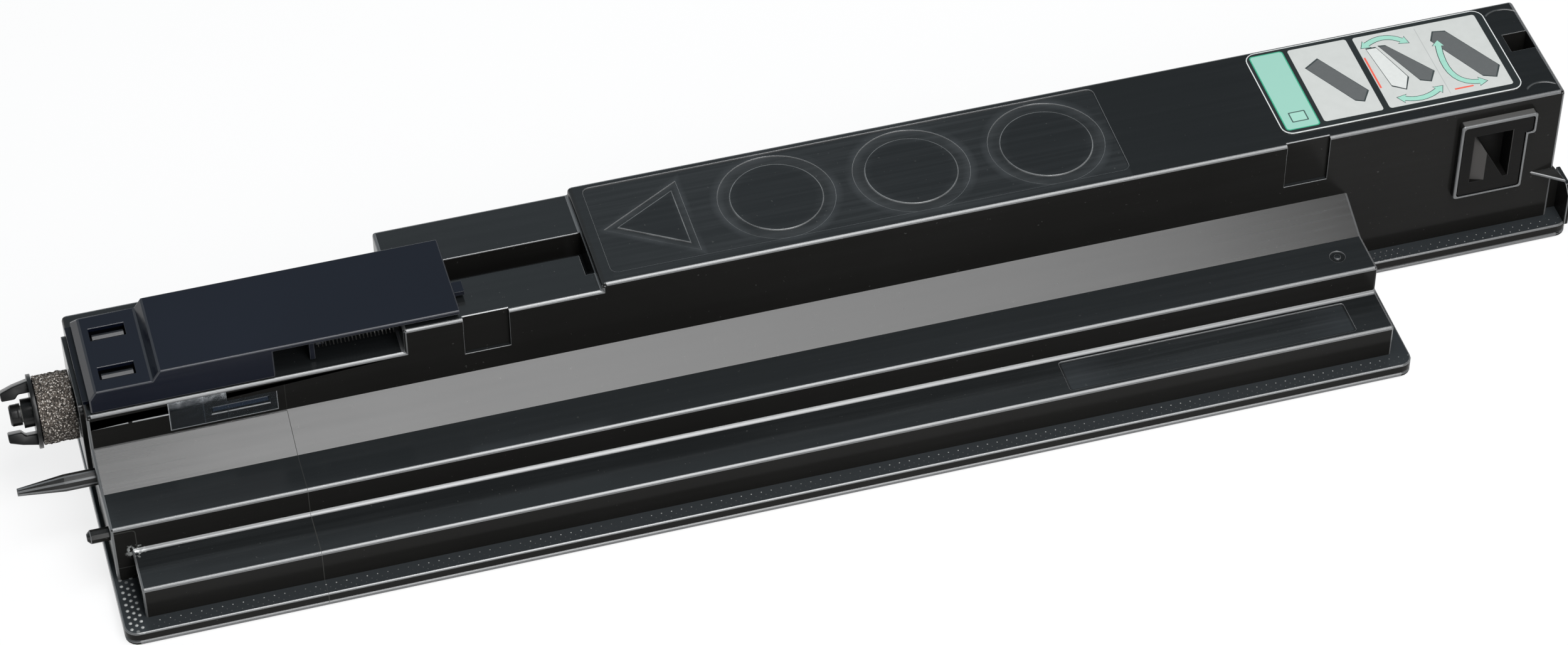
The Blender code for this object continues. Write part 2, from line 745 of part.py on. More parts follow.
def add_pins(tank):
    """Long tapered and short locating pins."""
    long_pin = turned(
        "long_pin",
        [
            (LEFT + WALL / 2, 0),
            (LEFT + WALL / 2, LONG_PIN_RADIUS),
            (LEFT - LONG_PIN_STRAIGHT, LONG_PIN_RADIUS),
            (OUTER_LEFT - LONG_PIN_LENGTH, LONG_PIN_TIP),
            (OUTER_LEFT - LONG_PIN_LENGTH, 0),
        ],
        LONG_PIN_Y,
        LONG_PIN_Z,
        segments=8,
    )
    chamfer = SHORT_PIN_RADIUS / 2
    short_pin = turned(
        "short_pin",
        [
            (LEFT + WALL / 2, 0),
            (LEFT + WALL / 2, SHORT_PIN_RADIUS),
            (LEFT - SHORT_PIN_LENGTH + chamfer, SHORT_PIN_RADIUS),
            (LEFT - SHORT_PIN_LENGTH, SHORT_PIN_RADIUS - chamfer),
            (LEFT - SHORT_PIN_LENGTH, 0),
        ],
        SHORT_PIN_Y,
        SHORT_PIN_Z,
        segments=10,
    )
    join(tank, gather("pins", long_pin, short_pin))


def plug_outline(grow):
    """Front view of the port plug's face: a rectangle with a small tab at the top right."""
    low = (PORT_LEFT - grow, PORT_LOW - grow)
    right = PORT_RIGHT + grow
    top = PORT_TOP + grow
    tab_x = PORT_RIGHT + PLUG_TAB_LENGTH + grow
    tab_z = PORT_TOP - PLUG_TAB_HEIGHT - grow
    points = [low, (right, low[1]), (right, tab_z), (tab_x, tab_z), (tab_x, top), (low[0], top)]
    return rounded(points, [PORT_CORNER, PORT_CORNER, 0, PORT_CORNER, PORT_CORNER, PORT_CORNER])


def port_hole(grow):
    """Front view of the port's hole through the wall."""
    low = (PORT_LEFT + PLUG_MARGIN - grow, PORT_LOW + PLUG_MARGIN - grow)
    high = (PORT_RIGHT - PLUG_MARGIN + grow, PORT_TOP - PLUG_MARGIN + grow)
    return rectangle(low, high, PORT_CORNER)


def add_port(tank):
    """Raised collar of the clean-out port, its seat and its hole."""
    collar = prism("collar", plug_outline(COLLAR_RIM), COLLAR_FRONT_Y, TANK_FRONT_Y + WALL / 2, "XZ")
    soften(collar, COLLAR_ROUND)
    seat = prism("port_seat", plug_outline(CLEARANCE), -FAR, SEAT_Y, "XZ")
    hole = prism("port_hole", port_hole(CLEARANCE), -FAR, TANK_FRONT_Y + 2 * WALL, "XZ")
    join(tank, collar)
    cut(tank, seat, hole)


def add_end_upstand(tank):
    """Upstand and sloping gusset at the right front corner."""
    edge_x = RIGHT + FLANGE_WIDTH - CLEARANCE
    front_y = TANK_FRONT_Y - FLANGE_WIDTH + CLEARANCE
    low = FLANGE_TOP - OVERLAP
    outline = [
        (front_y, low),
        (TANK_FRONT_Y + FLANGE_WIDTH, low),
        (TANK_FRONT_Y + FLANGE_WIDTH, UPSTAND_HEIGHT),
        (front_y + FLANGE_WIDTH / 2, UPSTAND_HEIGHT),
        (front_y, UPSTAND_HEIGHT - FLANGE_WIDTH / 2),
    ]
    upstand = prism("upstand", outline, edge_x - GUSSET_WALL, edge_x, "YZ")
    side = [
        (RIGHT - OVERLAP, low),
        (edge_x - OVERLAP, low),
        (edge_x - OVERLAP, UPSTAND_HEIGHT - WALL),
        (RIGHT - OVERLAP, GUSSET_TOP - WALL),
    ]
    web_y = TANK_FRONT_Y + FLANGE_WIDTH - 2 * GUSSET_WALL
    web = prism("upstand_web", side, web_y, web_y + GUSSET_WALL, "XZ")
    roof = [
        (RIGHT - GUSSET_LENGTH, TANK_FRONT_Y + OVERLAP),
        (RIGHT, TANK_FRONT_Y + OVERLAP),
        (edge_x - FLANGE_WIDTH / 2, front_y),
    ]
    gusset = prism("gusset", roof, -GUSSET_WALL, 0)
    hinge = Matrix.Translation((0, TANK_FRONT_Y, GUSSET_TOP))
    tilt = Matrix.Rotation(math.radians(GUSSET_TILT), 4, "X")
    gusset.data.transform(hinge @ tilt @ Matrix.Translation((0, -TANK_FRONT_Y, 0)))
    join(tank, upstand, web, gusset)


def cut_surface_features(tank):
    """Pockets, recessed panel and strip, inlet, drive hole and the shaft's bore."""
    pockets = []
    for index, left in enumerate((POCKET_1_X, POCKET_2_X)):
        pocket = box(
            f"pocket_{index + 1}",
            (left, left + POCKET_LENGTH),
            (-FAR, TANK_FRONT_Y + POCKET_DEPTH),
            (POCKET_LOW, FAR),
        )
        pockets.append(pocket)
    panel_left = RIDGE_START + PANEL_LEFT
    panel = prism(
        "panel_recess",
        rectangle((panel_left, PANEL_FRONT_Y), (panel_left + PANEL_LENGTH, PANEL_REAR_Y), PANEL_CORNER),
        RIDGE_TOP - PANEL_DEPTH,
        RIDGE_TOP + WALL,
    )
    strip = prism(
        "strip_recess",
        rectangle((STRIP_LEFT_X, STRIP_FRONT_Y), (STRIP_LEFT_X + STRIP_LENGTH, STRIP_REAR_Y), STRIP_CORNER),
        TERRACE_2_TOP - STRIP_DEPTH,
        TERRACE_2_TOP + WALL,
    )
    seat_outline = inlet_outline(GASKET_MARGIN + 2 * CLEARANCE)
    cut(tank, prism("gasket_seat", seat_outline, GASKET_SEAT, DECK_TOP + WALL))
    inlet = prism("inlet", inlet_outline(0), DECK_TOP - 2 * WALL, DECK_TOP + WALL)
    bore = rod(
        "bush_bore",
        (OUTER_LEFT - OVERLAP, LEFT + WALL + OVERLAP),
        HUB_RADIUS + CLEARANCE + BUSH_WALL + CLEARANCE,
        AXIS_Y,
        AXIS_Z,
    )
    spring_hole = rod(
        "spring_hole",
        (DECK_END - WALL, SPRING_HOLE_END),
        SPRING_HOLE_RADIUS,
        SPRING_Y,
        SPRING_Z,
        16,
    )
    cut(tank, gather("surface_cuts", panel, strip, inlet, bore, spring_hole, *pockets))


def make_shell(finish):
    """Upper moulding of the container."""
    tank = make_tank_solids()
    cut_tank_hollow(tank)
    cut_channel(tank)
    add_inner_blocks(tank)
    add_pins(tank)
    add_port(tank)
    add_end_upstand(tank)
    cut_surface_features(tank)
    return piece(tank, finish)


def rib_loop(inset):
    """Plan of a line that runs inside the shell's walls at a distance."""
    front = TERRACE_2_Y + WALL + inset
    left = LEFT + WALL + inset
    step_x = TERRACE_2_LEFT + WALL + inset
    step_y = TERRACE_1_Y + WALL + inset
    tank_y = TANK_FRONT_Y + WALL + inset
    right = RIGHT - WALL - inset
    return [
        (step_x, front),
        (TERRACE_RIGHT - WALL - inset, front),
        (TERRACE_RIGHT - WALL - inset, tank_y),
        (right, tank_y),
        (right, REAR_Y - WALL - inset),
        (left, REAR_Y - WALL - inset),
        (left, step_y),
        (step_x, step_y),
    ]


def make_base(finish):
    """Lower half: welded flange plate with a locating rib inside and shallow cells below."""
    plate = prism("base_cover", flange_outline(), 0, BASE_THICKNESS)
    soften(plate, BASE_ROUND, 1)
    rib = prism(
        "base_rib",
        [rib_loop(CLEARANCE), rib_loop(CLEARANCE + BASE_RIB_WALL)],
        BASE_THICKNESS - OVERLAP,
        BASE_THICKNESS + CLEARANCE + BASE_RIB_HEIGHT,
    )
    join(plate, rib)
    cell_right = TERRACE_RIGHT - BASE_RIM
    pitch = (cell_right - LEFT - BASE_RIM) / BASE_CELLS
    front_row = (FRONT_Y + BASE_RIM, -CELL_SPINE / 2)
    rear_row = (CELL_SPINE / 2, REAR_Y - BASE_RIM)
    for index in range(BASE_CELLS):
        low_x = LEFT + BASE_RIM + index * pitch + CELL_SPACING / 2
        high_x = low_x + pitch - CELL_SPACING
        for row, (low_y, high_y) in enumerate((front_row, rear_row)):
            cell = prism(
                f"base_cell_{row + 1}_{index + 1}",
                rectangle((low_x, low_y), (high_x, high_y), CELL_CORNER),
                -WALL,
                BASE_RECESS,
            )
            cut(plate, cell)
    return piece(plate, finish)


def make_shutter(finish):
    """Sliding cover: pad, raised plate, skirts, slots and guide ribs."""
    front_view = [
        (SHUTTER_LEFT, SHUTTER_BOTTOM),
        (SKIRT_RIGHT, SHUTTER_BOTTOM),
        (SKIRT_RIGHT, PLATE_TOP - SHUTTER_WALL),
        (PLATE_RIGHT, PLATE_TOP - SHUTTER_WALL),
        (PLATE_RIGHT, PLATE_TOP),
        (PAD_RIGHT + PLATE_STEP, PLATE_TOP),
        (PAD_RIGHT, PAD_TOP),
        (SHUTTER_LEFT + PAD_CHAMFER, PAD_TOP),
        (SHUTTER_LEFT, PAD_TOP - PAD_CHAMFER_HEIGHT),
    ]
    cover = prism("inlet_shutter", front_view, SHUTTER_FRONT_Y, SHUTTER_FOOT_Y, "XZ")
    side_view = [
        (SHUTTER_FRONT_Y, SHUTTER_BOTTOM - WALL),
        (SHUTTER_FOOT_Y, SHUTTER_BOTTOM - WALL),
        (SHUTTER_FOOT_Y, SHUTTER_BOTTOM + LIP_HEIGHT),
        (SHUTTER_REAR_Y, PAD_TOP),
        (SHUTTER_REAR_Y, PLATE_TOP + WALL),
        (SHUTTER_FRONT_Y, PLATE_TOP + WALL),
    ]
    side = prism("shutter_side", side_view, SHUTTER_LEFT - WALL, PLATE_RIGHT + WALL, "YZ")
    shape(cover, side, "INTERSECT")
    soften(cover, SHUTTER_ROUND)
    inner_front = SHUTTER_FRONT_Y + SHUTTER_WALL
    inner_rear = SHUTTER_REAR_Y - SHUTTER_WALL
    pad_hollow = box(
        "pad_hollow",
        (SHUTTER_LEFT + SHUTTER_WALL, SKIRT_RIGHT - SHUTTER_WALL),
        (inner_front, inner_rear),
        (0, PAD_TOP - SHUTTER_WALL),
    )
    plate_hollow = box(
        "plate_hollow",
        (PAD_RIGHT + PLATE_STEP + SHUTTER_WALL, SKIRT_RIGHT - SHUTTER_WALL),
        (inner_front, inner_rear),
        (0, PLATE_TOP - SHUTTER_WALL),
    )
    gate = box(
        "skirt_gate",
        (SKIRT_RIGHT - 2 * SHUTTER_WALL, SKIRT_RIGHT + WALL),
        (CHANNEL_LEG_FRONT_Y, CHANNEL_REAR_Y),
        (0, PLATE_TOP - SHUTTER_WALL),
    )
    cut(cover, pad_hollow, plate_hollow, gate)
    for index, front in enumerate(SLOT_FRONT_YS):
        slot = box(
            f"hook_slot_{index + 1}",
            (SHUTTER_LEFT + SLOT_FROM_END, SHUTTER_LEFT + SLOT_FROM_END + SLOT_LENGTH),
            (front, front + SLOT_WIDTH),
            (PAD_TOP - 2 * SHUTTER_WALL, FAR),
        )
        cut(cover, slot)
    lip = box(
        "lip",
        (SHUTTER_LEFT - LIP_WIDTH, SHUTTER_LEFT + OVERLAP),
        (LIP_FRONT_Y, LIP_REAR_Y),
        (SHUTTER_BOTTOM, SHUTTER_BOTTOM + LIP_HEIGHT),
    )
    join(cover, lip)
    under = PLATE_TOP - SHUTTER_WALL + OVERLAP
    rib_ys = (
        CHANNEL_FRONT_Y + 2 * CLEARANCE,
        CHANNEL_REAR_Y - 2 * CLEARANCE - RAIL_RIB_WALL,
    )
    for index, low_y in enumerate(rib_ys):
        rib = box(
            f"guide_rib_{index + 1}",
            (SKIRT_RIGHT + CLEARANCE, PLATE_RIGHT - 3 * SHUTTER_WALL),
            (low_y, low_y + RAIL_RIB_WALL),
            (SHUTTER_BOTTOM, under),
        )
        join(cover, rib)
    pusher = box(
        "pusher",
        (PUSHER_RIGHT - PUSHER_WALL, PUSHER_RIGHT),
        (SPRING_Y - SPRING_RADIUS - WALL / 2, SPRING_Y + SPRING_RADIUS + WALL / 2),
        (SHUTTER_BOTTOM, under),
    )
    spigot = rod(
        "spigot",
        (PUSHER_RIGHT - OVERLAP, PUSHER_RIGHT + SPIGOT_LENGTH),
        SPIGOT_RADIUS,
        SPRING_Y,
        SPRING_Z,
        12,
    )
    stub = box(
        "gate_stub",
        (PLATE_RIGHT - OVERLAP, PLATE_RIGHT + GATE_STUB_LENGTH),
        (GATE_STUB_Y - GATE_STUB_WIDTH / 2, GATE_STUB_Y + GATE_STUB_WIDTH / 2),
        (PLATE_TOP - SHUTTER_WALL - OVERLAP, PLATE_TOP - OVERLAP),
    )
    join(cover, pusher, spigot, stub)
    return piece(cover, finish)


def make_carrier(finish):
    """Flat carrier under the shutter with two hooks that snap into its slots."""
    left = SHUTTER_LEFT + SHUTTER_WALL + CLEARANCE
    right = SKIRT_RIGHT - 2 * SHUTTER_WALL - CLEARANCE
    plate = prism(
        "seal_carrier",
        rectangle(
            (left, SHUTTER_FRONT_Y + SHUTTER_WALL + CLEARANCE),
            (right, SHUTTER_REAR_Y - SHUTTER_WALL - CLEARANCE),
            CARRIER_CORNER,
        ),
        CARRIER_BOTTOM,
        CARRIER_BOTTOM + CARRIER_THICKNESS,
    )
    for index, front in enumerate(SLOT_FRONT_YS):
        low_x = SHUTTER_LEFT + SLOT_FROM_END + 2 * CLEARANCE
        high_x = low_x + SLOT_LENGTH - 4 * CLEARANCE
        low_y = front + CLEARANCE
        outline = [
            (low_y, CARRIER_BOTTOM + CARRIER_THICKNESS - OVERLAP),
            (low_y + HOOK_WIDTH, CARRIER_BOTTOM + CARRIER_THICKNESS - OVERLAP),
            (low_y + HOOK_WIDTH, PAD_TOP - HOOK_HEAD),
            (low_y + HOOK_WIDTH + HOOK_HEAD, PAD_TOP - HOOK_HEAD),
            (low_y + HOOK_WIDTH / 2, PAD_TOP + HOOK_HEAD / 2),
            (low_y, PAD_TOP - HOOK_HEAD / 2),
        ]
        hook = prism(f"hook_{index + 1}", outline, low_x, high_x, "YZ")
        join(plate, hook)
    return piece(plate, finish)


def make_gasket(finish):
    """Sponge frame in a shallow seat round the inlet."""
    outlines = [inlet_outline(CLEARANCE + GASKET_MARGIN), inlet_outline(CLEARANCE)]
    frame = prism("inlet_gasket", outlines, GASKET_TOP - GASKET_THICKNESS, GASKET_TOP)
    return piece(frame, finish)


def make_spring(finish):
    """Compression spring between the shutter's pusher and the end of the hole in the ledge."""
    start = PUSHER_RIGHT + CLEARANCE + SPRING_WIRE / 2
    end = SPRING_HOLE_END - CLEARANCE - SPRING_WIRE / 2
    per_turn = 9
    count = SPRING_TURNS * per_turn
    curve = bpy.data.curves.new("shutter_spring", "CURVE")
    curve.dimensions = "3D"
    curve.bevel_depth = SPRING_WIRE / 2
    curve.bevel_resolution = 0
    curve.use_fill_caps = True
    spline = curve.splines.new("POLY")
    spline.points.add(count)
    for index, point in enumerate(spline.points):
        share = index / count
        angle = 2 * math.pi * SPRING_TURNS * share
        flat = 1.5 / SPRING_TURNS
        along = min(max((share - flat / 2) / (1 - flat), 0), 1)
        reach = start + (end - start) * (0.02 * share + 0.98 * along)
        y = SPRING_Y + SPRING_RADIUS * math.cos(angle)
        z = SPRING_Z + SPRING_RADIUS * math.sin(angle)
        point.co = (reach, y, z, 1.0)
    coil = bpy.data.objects.new("shutter_spring", curve)
    bpy.context.scene.collection.objects.link(coil)
    place(coil, COLLECTION)
    curve.materials.append(finish)
    return coil


def make_lock_tab(finish):
    """Bar of the transport lock in its window."""
    left = LEFT + LOCK_FROM_END + CLEARANCE
    bar = box(
        "lock_tab",
        (left, left + LOCK_LENGTH - 2 * CLEARANCE),
        (TANK_FRONT_Y + LOCK_FACE_INSET, TANK_FRONT_Y + LOCK_DEPTH - CLEARANCE),
        (LOCK_LOW + CLEARANCE, LOCK_LOW + LOCK_HEIGHT - CLEARANCE),
    )
    soften(bar, LOCK_ROUND, 1)
    return piece(bar, finish)


def make_tape(finish):
    """Clear tape over the lock window, stepped at its upper right."""
    left = LEFT + TAPE_FROM_END
    right = left + TAPE_LENGTH
    top = DECK_TOP - EDGE_ROUND
    outline = [
        (left, TAPE_LOW),
        (right, TAPE_LOW),
        (right, TAPE_STEP_LOW),
        (left + TAPE_STEP_LENGTH, TAPE_STEP_LOW),
        (left + TAPE_STEP_LENGTH, top),
        (left, top),
    ]
    high_y = TANK_FRONT_Y - SHEET_GAP
    tape = prism("shutter_tape", outline, high_y - TAPE_THICKNESS, high_y, "XZ")
    return piece(tape, finish)


def make_label(finish):
    """Label on the ridge near the right end."""
    right = RIGHT - LABEL_FROM_END
    outline = rectangle((right - LABEL_LENGTH, LABEL_FRONT_Y), (right, LABEL_REAR_Y), LABEL_CORNER, 5)
    low = RIDGE_TOP + SHEET_GAP
    label = prism("instruction_label", outline, low, low + LABEL_THICKNESS)
    return piece(label, finish)


def make_conveyor(finish):
    """Shaft with a screw flight."""
    per_turn = 12
    low = SHAFT_LEFT + BUTTON_THICKNESS
    profile = [(TAIL_X, 0), (TAIL_X, SHAFT_RADIUS), (low, SHAFT_RADIUS), (low, 0)]
    half_step = math.pi / per_turn
    shaft = turned("conveyor", profile, AXIS_Y, AXIS_Z, segments=per_turn, turn=half_step)
    mesh = bpy.data.meshes.new("flight")
    half = FLIGHT_THICKNESS / 2
    inner = SHAFT_RADIUS * 0.7
    rim = half * 0.6
    section = [(inner, half), (FLIGHT_RADIUS, rim), (FLIGHT_RADIUS, -rim), (inner, -half)]
    verts = [(radius, 0.0, along) for radius, along in section]
    mesh.from_pydata(verts, [(0, 1), (1, 2), (2, 3), (3, 0)], [])
    flight = bpy.data.objects.new("flight", mesh)
    bpy.context.scene.collection.objects.link(flight)
    quarter = Matrix.Rotation(math.radians(90), 4, "Y")
    flight.matrix_world = Matrix.Translation((FLIGHT_LEFT, AXIS_Y, AXIS_Z)) @ quarter
    screw = flight.modifiers.new("flight", "SCREW")
    screw.screw_offset = FLIGHT_PITCH
    screw.iterations = FLIGHT_TURNS
    screw.steps = per_turn
    screw.render_steps = per_turn
    flight = solid_mesh(flight, "flight")
    work = bmesh.new()
    work.from_mesh(flight.data)
    bmesh.ops.remove_doubles(work, verts=work.verts, dist=1e-6)
    bmesh.ops.holes_fill(work, edges=work.edges, sides=8)
    bmesh.ops.recalc_face_normals(work, faces=work.faces)
    work.to_mesh(flight.data)
    work.free()
    join(shaft, flight)
    return piece(shaft, finish)


def make_coupling(finish):
    """Two-claw drive coupling with its flange, boss and hub."""
    bore = SHAFT_RADIUS + CLEARANCE
    hub_right = LEFT + WALL + HUB_INNER_LENGTH
    profile = [
        (hub_right, bore),
        (hub_right, HUB_RADIUS),
        (DISC_RIGHT, HUB_RADIUS),
        (DISC_RIGHT, COUPLING_RADIUS),
        (DISC_LEFT, COUPLING_RADIUS),
        (DISC_LEFT, BOSS_RADIUS),
        (BOSS_LEFT, BOSS_RADIUS),
        (BOSS_LEFT, bore),
    ]
    body = turned("drive_coupling", profile, AXIS_Y, AXIS_Z, segments=28, closed=True)
    tip = DISC_LEFT - CLAW_LENGTH
    for index in range(2):
        angle = math.radians(CLAW_ANGLE + 180 * index)
        side_view = [
            (DISC_LEFT + OVERLAP, CLAW_INNER_RADIUS + CLAW_ROOT),
            (DISC_LEFT - CLAW_ROOT_LENGTH, CLAW_INNER_RADIUS + CLAW_ROOT),
            (DISC_LEFT - CLAW_ROOT_LENGTH - CLAW_RAMP, CLAW_INNER_RADIUS),
            (tip, CLAW_INNER_RADIUS),
            (tip, CLAW_OUTER_RADIUS - CLAW_ROOT),
            (DISC_LEFT - CLAW_BACK_LENGTH, CLAW_OUTER_RADIUS),
            (DISC_LEFT + OVERLAP, CLAW_OUTER_RADIUS + CLAW_RAMP),
        ]
        claw = prism(f"claw_{index + 1}", side_view, -CLAW_WIDTH / 2, CLAW_WIDTH / 2, "XZ")
        soften(claw, CLAW_ROUND, 1)
        turn = Matrix.Rotation(angle - math.radians(90), 4, "X")
        claw.data.transform(Matrix.Translation((0, AXIS_Y, AXIS_Z)) @ turn)
        join(body, claw)
    return piece(body, finish)


def make_drive_pieces(finishes):
    """Foam sleeve, retainer, bushes and seal round the shaft."""
    bore = HUB_RADIUS + CLEARANCE
    foam_right = OUTER_LEFT - CLEARANCE
    foam = ring("coupling_foam", (DISC_RIGHT + CLEARANCE, foam_right), (bore, FOAM_RADIUS), AXIS_Y, AXIS_Z)
    piece(foam, finishes["foam"])
    stem = SHAFT_RADIUS + 2.5 * CLEARANCE
    cap = SHAFT_LEFT + BUTTON_THICKNESS
    retainer = turned(
        "coupling_retainer",
        [
            (cap - CLEARANCE, 0),
            (cap - CLEARANCE, SHAFT_RADIUS + CLEARANCE),
            (BOSS_LEFT - CLEARANCE, SHAFT_RADIUS + CLEARANCE),
            (BOSS_LEFT - CLEARANCE, stem),
            (cap, stem),
            (cap, BUTTON_RADIUS),
            (SHAFT_LEFT + BUTTON_CHAMFER, BUTTON_RADIUS),
            (SHAFT_LEFT, BUTTON_RADIUS - BUTTON_CHAMFER),
            (SHAFT_LEFT, 0),
        ],
        AXIS_Y,
        AXIS_Z,
    )
    piece(retainer, finishes["coupling"])
    outer = HUB_RADIUS + CLEARANCE + BUSH_WALL
    flange_left = LEFT + WALL + CLEARANCE
    flange_right = flange_left + BUSH_FLANGE
    bush = turned(
        "drive_bush",
        [
            (flange_right, bore),
            (flange_right, outer + BUSH_FLANGE_RISE),
            (flange_left, outer + BUSH_FLANGE_RISE),
            (flange_left, outer),
            (OUTER_LEFT, outer),
            (OUTER_LEFT, bore),
        ],
        AXIS_Y,
        AXIS_Z,
        closed=True,
    )
    piece(bush, finishes["bush"])
    seal_left = flange_right + CLEARANCE
    seal_right = seal_left + SEAL_THICKNESS
    seal = ring("shaft_seal", (seal_left, seal_right), (bore, outer), AXIS_Y, AXIS_Z)
    piece(seal, finishes["seal"])
    tail = RIGHT - WALL - TAIL_BOSS_LENGTH
    tail_bore = SHAFT_RADIUS + CLEARANCE
    tail_bush = ring(
        "tail_bush",
        (tail - TAIL_BUSH_PROUD, RIGHT - WALL - CLEARANCE),
        (tail_bore, tail_bore + TAIL_BUSH_WALL),
        AXIS_Y,
        AXIS_Z,
    )
    piece(tail_bush, finishes["bush"])


def make_port_plug(finish, seal_finish):
    """Plug with a finger recess divided by a diagonal ridge, and the gasket behind its face."""
    face_front = COLLAR_FRONT_Y + CLEARANCE
    face_back = face_front + PLUG_FACE
    plug = prism("port_plug", plug_outline(0), face_front, face_back, "XZ")
    skirt = prism("plug_skirt", port_hole(0), face_back - OVERLAP, face_front + PLUG_SKIRT, "XZ")
    join(plug, skirt)
    low = (PORT_LEFT + PLUG_FRAME, PORT_LOW + PLUG_FRAME + PLUG_SILL)
    high = (PORT_RIGHT - PLUG_FRAME, PORT_TOP - PLUG_FRAME)
    ridge_x = high[0] - PLUG_RIDGE_WIDTH
    deep = [(low[0], high[1]), (high[0], high[1]), (high[0], low[1]), (ridge_x, low[1])]
    recess = prism("plug_recess", deep, -FAR, face_front + PLUG_RECESS_DEPTH, "XZ")
    shallow = prism("plug_ramp", [low, (high[0], low[1]), (low[0], high[1])], -FAR, 0, "XZ")
    tilt = Matrix.Rotation(math.radians(-PLUG_RAMP_ANGLE), 4, "Z")
    pivot = Vector((low[0], face_front + PLUG_RAMP_START, 0))
    shallow.data.transform(Matrix.Translation(pivot) @ tilt @ Matrix.Translation((-low[0], 0, 0)))
    cut(plug, recess, shallow)
    piece(plug, finish)
    gasket = prism(
        "port_gasket",
        [rectangle(
            (PORT_LEFT + CLEARANCE, PORT_LOW + CLEARANCE),
            (PORT_RIGHT - CLEARANCE, PORT_TOP - CLEARANCE),
            PORT_CORNER,
        ), port_hole(CLEARANCE)],
        face_back + CLEARANCE / 2,
        face_back + CLEARANCE / 2 + PORT_GASKET,
        "XZ",
    )
    piece(gasket, seal_finish)


def main():
    """Build the container."""
    fresh_scene()
    black = material("shell_plastic", (0.012, 0.011, 0.010), 0.28)
    finishes = {
        "foam": material("sponge", (0.055, 0.04, 0.03), 0.95),
        "coupling": material("coupling_plastic", (0.02, 0.02, 0.02), 0.45),
        "bush": material("bush_plastic", (0.75, 0.74, 0.70), 0.4),
        "seal": material("seal_felt", (0.3, 0.29, 0.27), 0.9),
    }
    blue = material("shutter_plastic", (0.012, 0.016, 0.030), 0.35)
    make_shell(black)
    make_base(black)
    make_shutter(blue)
    make_carrier(material("carrier_plastic", (0.05, 0.05, 0.055), 0.4))
    make_gasket(material("gasket_sponge", (0.04, 0.04, 0.04), 0.95))
    make_spring(material("spring_steel", (0.6, 0.57, 0.52), 0.3, metallic=1.0))
    make_lock_tab(blue)
    make_tape(material("clear_tape", (0.9, 0.9, 0.9), 0.15, alpha=0.25))
    make_label(material("label_film", (0.85, 0.85, 0.84), 0.35))
    make_conveyor(material("screw_plastic", (0.62, 0.61, 0.58), 0.45))
    make_coupling(finishes["coupling"])
    make_drive_pieces(finishes)
    make_port_plug(material("plug_plastic", (0.03, 0.03, 0.03), 0.6), finishes["seal"])


main()
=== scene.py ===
"""Dressed scene of the waste toner container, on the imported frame."""

from collections import namedtuple
import math

import bmesh
import bpy
from mathutils import Matrix, Vector
from mathutils import noise as noise_field


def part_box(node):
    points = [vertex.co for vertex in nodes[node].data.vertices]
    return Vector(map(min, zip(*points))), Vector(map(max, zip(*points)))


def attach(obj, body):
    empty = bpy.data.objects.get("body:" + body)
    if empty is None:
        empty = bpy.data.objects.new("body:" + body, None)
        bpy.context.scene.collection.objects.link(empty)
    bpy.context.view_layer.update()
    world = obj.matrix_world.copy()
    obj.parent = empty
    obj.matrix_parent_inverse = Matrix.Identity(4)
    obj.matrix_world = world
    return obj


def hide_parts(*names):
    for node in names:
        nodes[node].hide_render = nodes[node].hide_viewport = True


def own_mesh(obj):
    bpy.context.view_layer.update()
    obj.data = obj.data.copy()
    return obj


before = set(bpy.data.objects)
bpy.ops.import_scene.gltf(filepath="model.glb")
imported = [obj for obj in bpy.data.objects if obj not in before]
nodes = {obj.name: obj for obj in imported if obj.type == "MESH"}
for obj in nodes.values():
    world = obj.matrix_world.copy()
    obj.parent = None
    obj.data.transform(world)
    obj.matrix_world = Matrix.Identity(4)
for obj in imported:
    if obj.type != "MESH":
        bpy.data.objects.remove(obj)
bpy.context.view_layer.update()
MM = 0.001


def mm(*values):
    """Values given in mm, in the metres of the scene."""
    return tuple(value * MM for value in values)


# Places on the container in mm, shared by its materials and its shapes
RING_CENTRES = ((-15.3, 24.8), (26.0, 24.5), (67.9, 24.6))
RING_MIDDLE = 15.65
GROOVE_HALF = 1.75
TRIANGLE = ((-67.3, 25.2), (-42.4, 39.3), (-42.4, 9.7))
TRIANGLE_BAND = 1.93
GATE_PIP = (147.2, -16.4)
GATE_PIP_TOP = 26.3
PARTING_X = -168.0

# Rows of weld pips on the flange: along an axis, with a pitch, a place across and an offset for each row,
# the stretch that they fill, and the radius and height of a pip
Rows = namedtuple("Rows", "axis pitch places span radius height")
FRONT_ROW = Rows("X", 3.0, ((-41.7, 0.0),), (-217.5, 154.0), 0.26, 0.12)
SMALL_ROWS = Rows("X", 3.0, ((-42.9, 1.9), (-43.9, 0.7)), (-217.5, 154.0), 0.19, 0.06)
LEFT_ROWS = Rows("Y", 2.4, ((-221.2, 0.0), (-222.7, 1.2), (-224.3, 0.0)), (-43.6, -25.6), 0.62, 0.24)
RIGHT_ROWS = Rows("X", 3.0, ((0.6, 0.0), (-1.2, 1.5)), (176.5, 222.0), 0.22, 0.10)
DENSE_ROWS = Rows("X", 1.9, ((1.6, 0.9), (-0.3, 0.0)), (159.5, 176.0), 0.28, 0.14)
OUTER_ROW = Rows("X", 1.9, ((-1.9, 0.9),), (159.5, 176.0), 0.26, 0.14)
OUTER_STAIN = OUTER_ROW._replace(places=((-2.0, 0.9),), radius=0.28)


# Node helpers
MIX_FACTOR, MIX_ONE, MIX_TWO, MIX_COLOUR = 0, 6, 7, 2


def new_material(name):
    """Node material with its Principled shader."""
    material = bpy.data.materials.new(name)
    material.use_nodes = True
    tree = material.node_tree
    return material, tree, tree.nodes["Principled BSDF"]


def add(tree, kind, **inputs):
    """Add a node and set its inputs by name."""
    node = tree.nodes.new(kind)
    for key, value in inputs.items():
        node.inputs[key].default_value = value
    return node


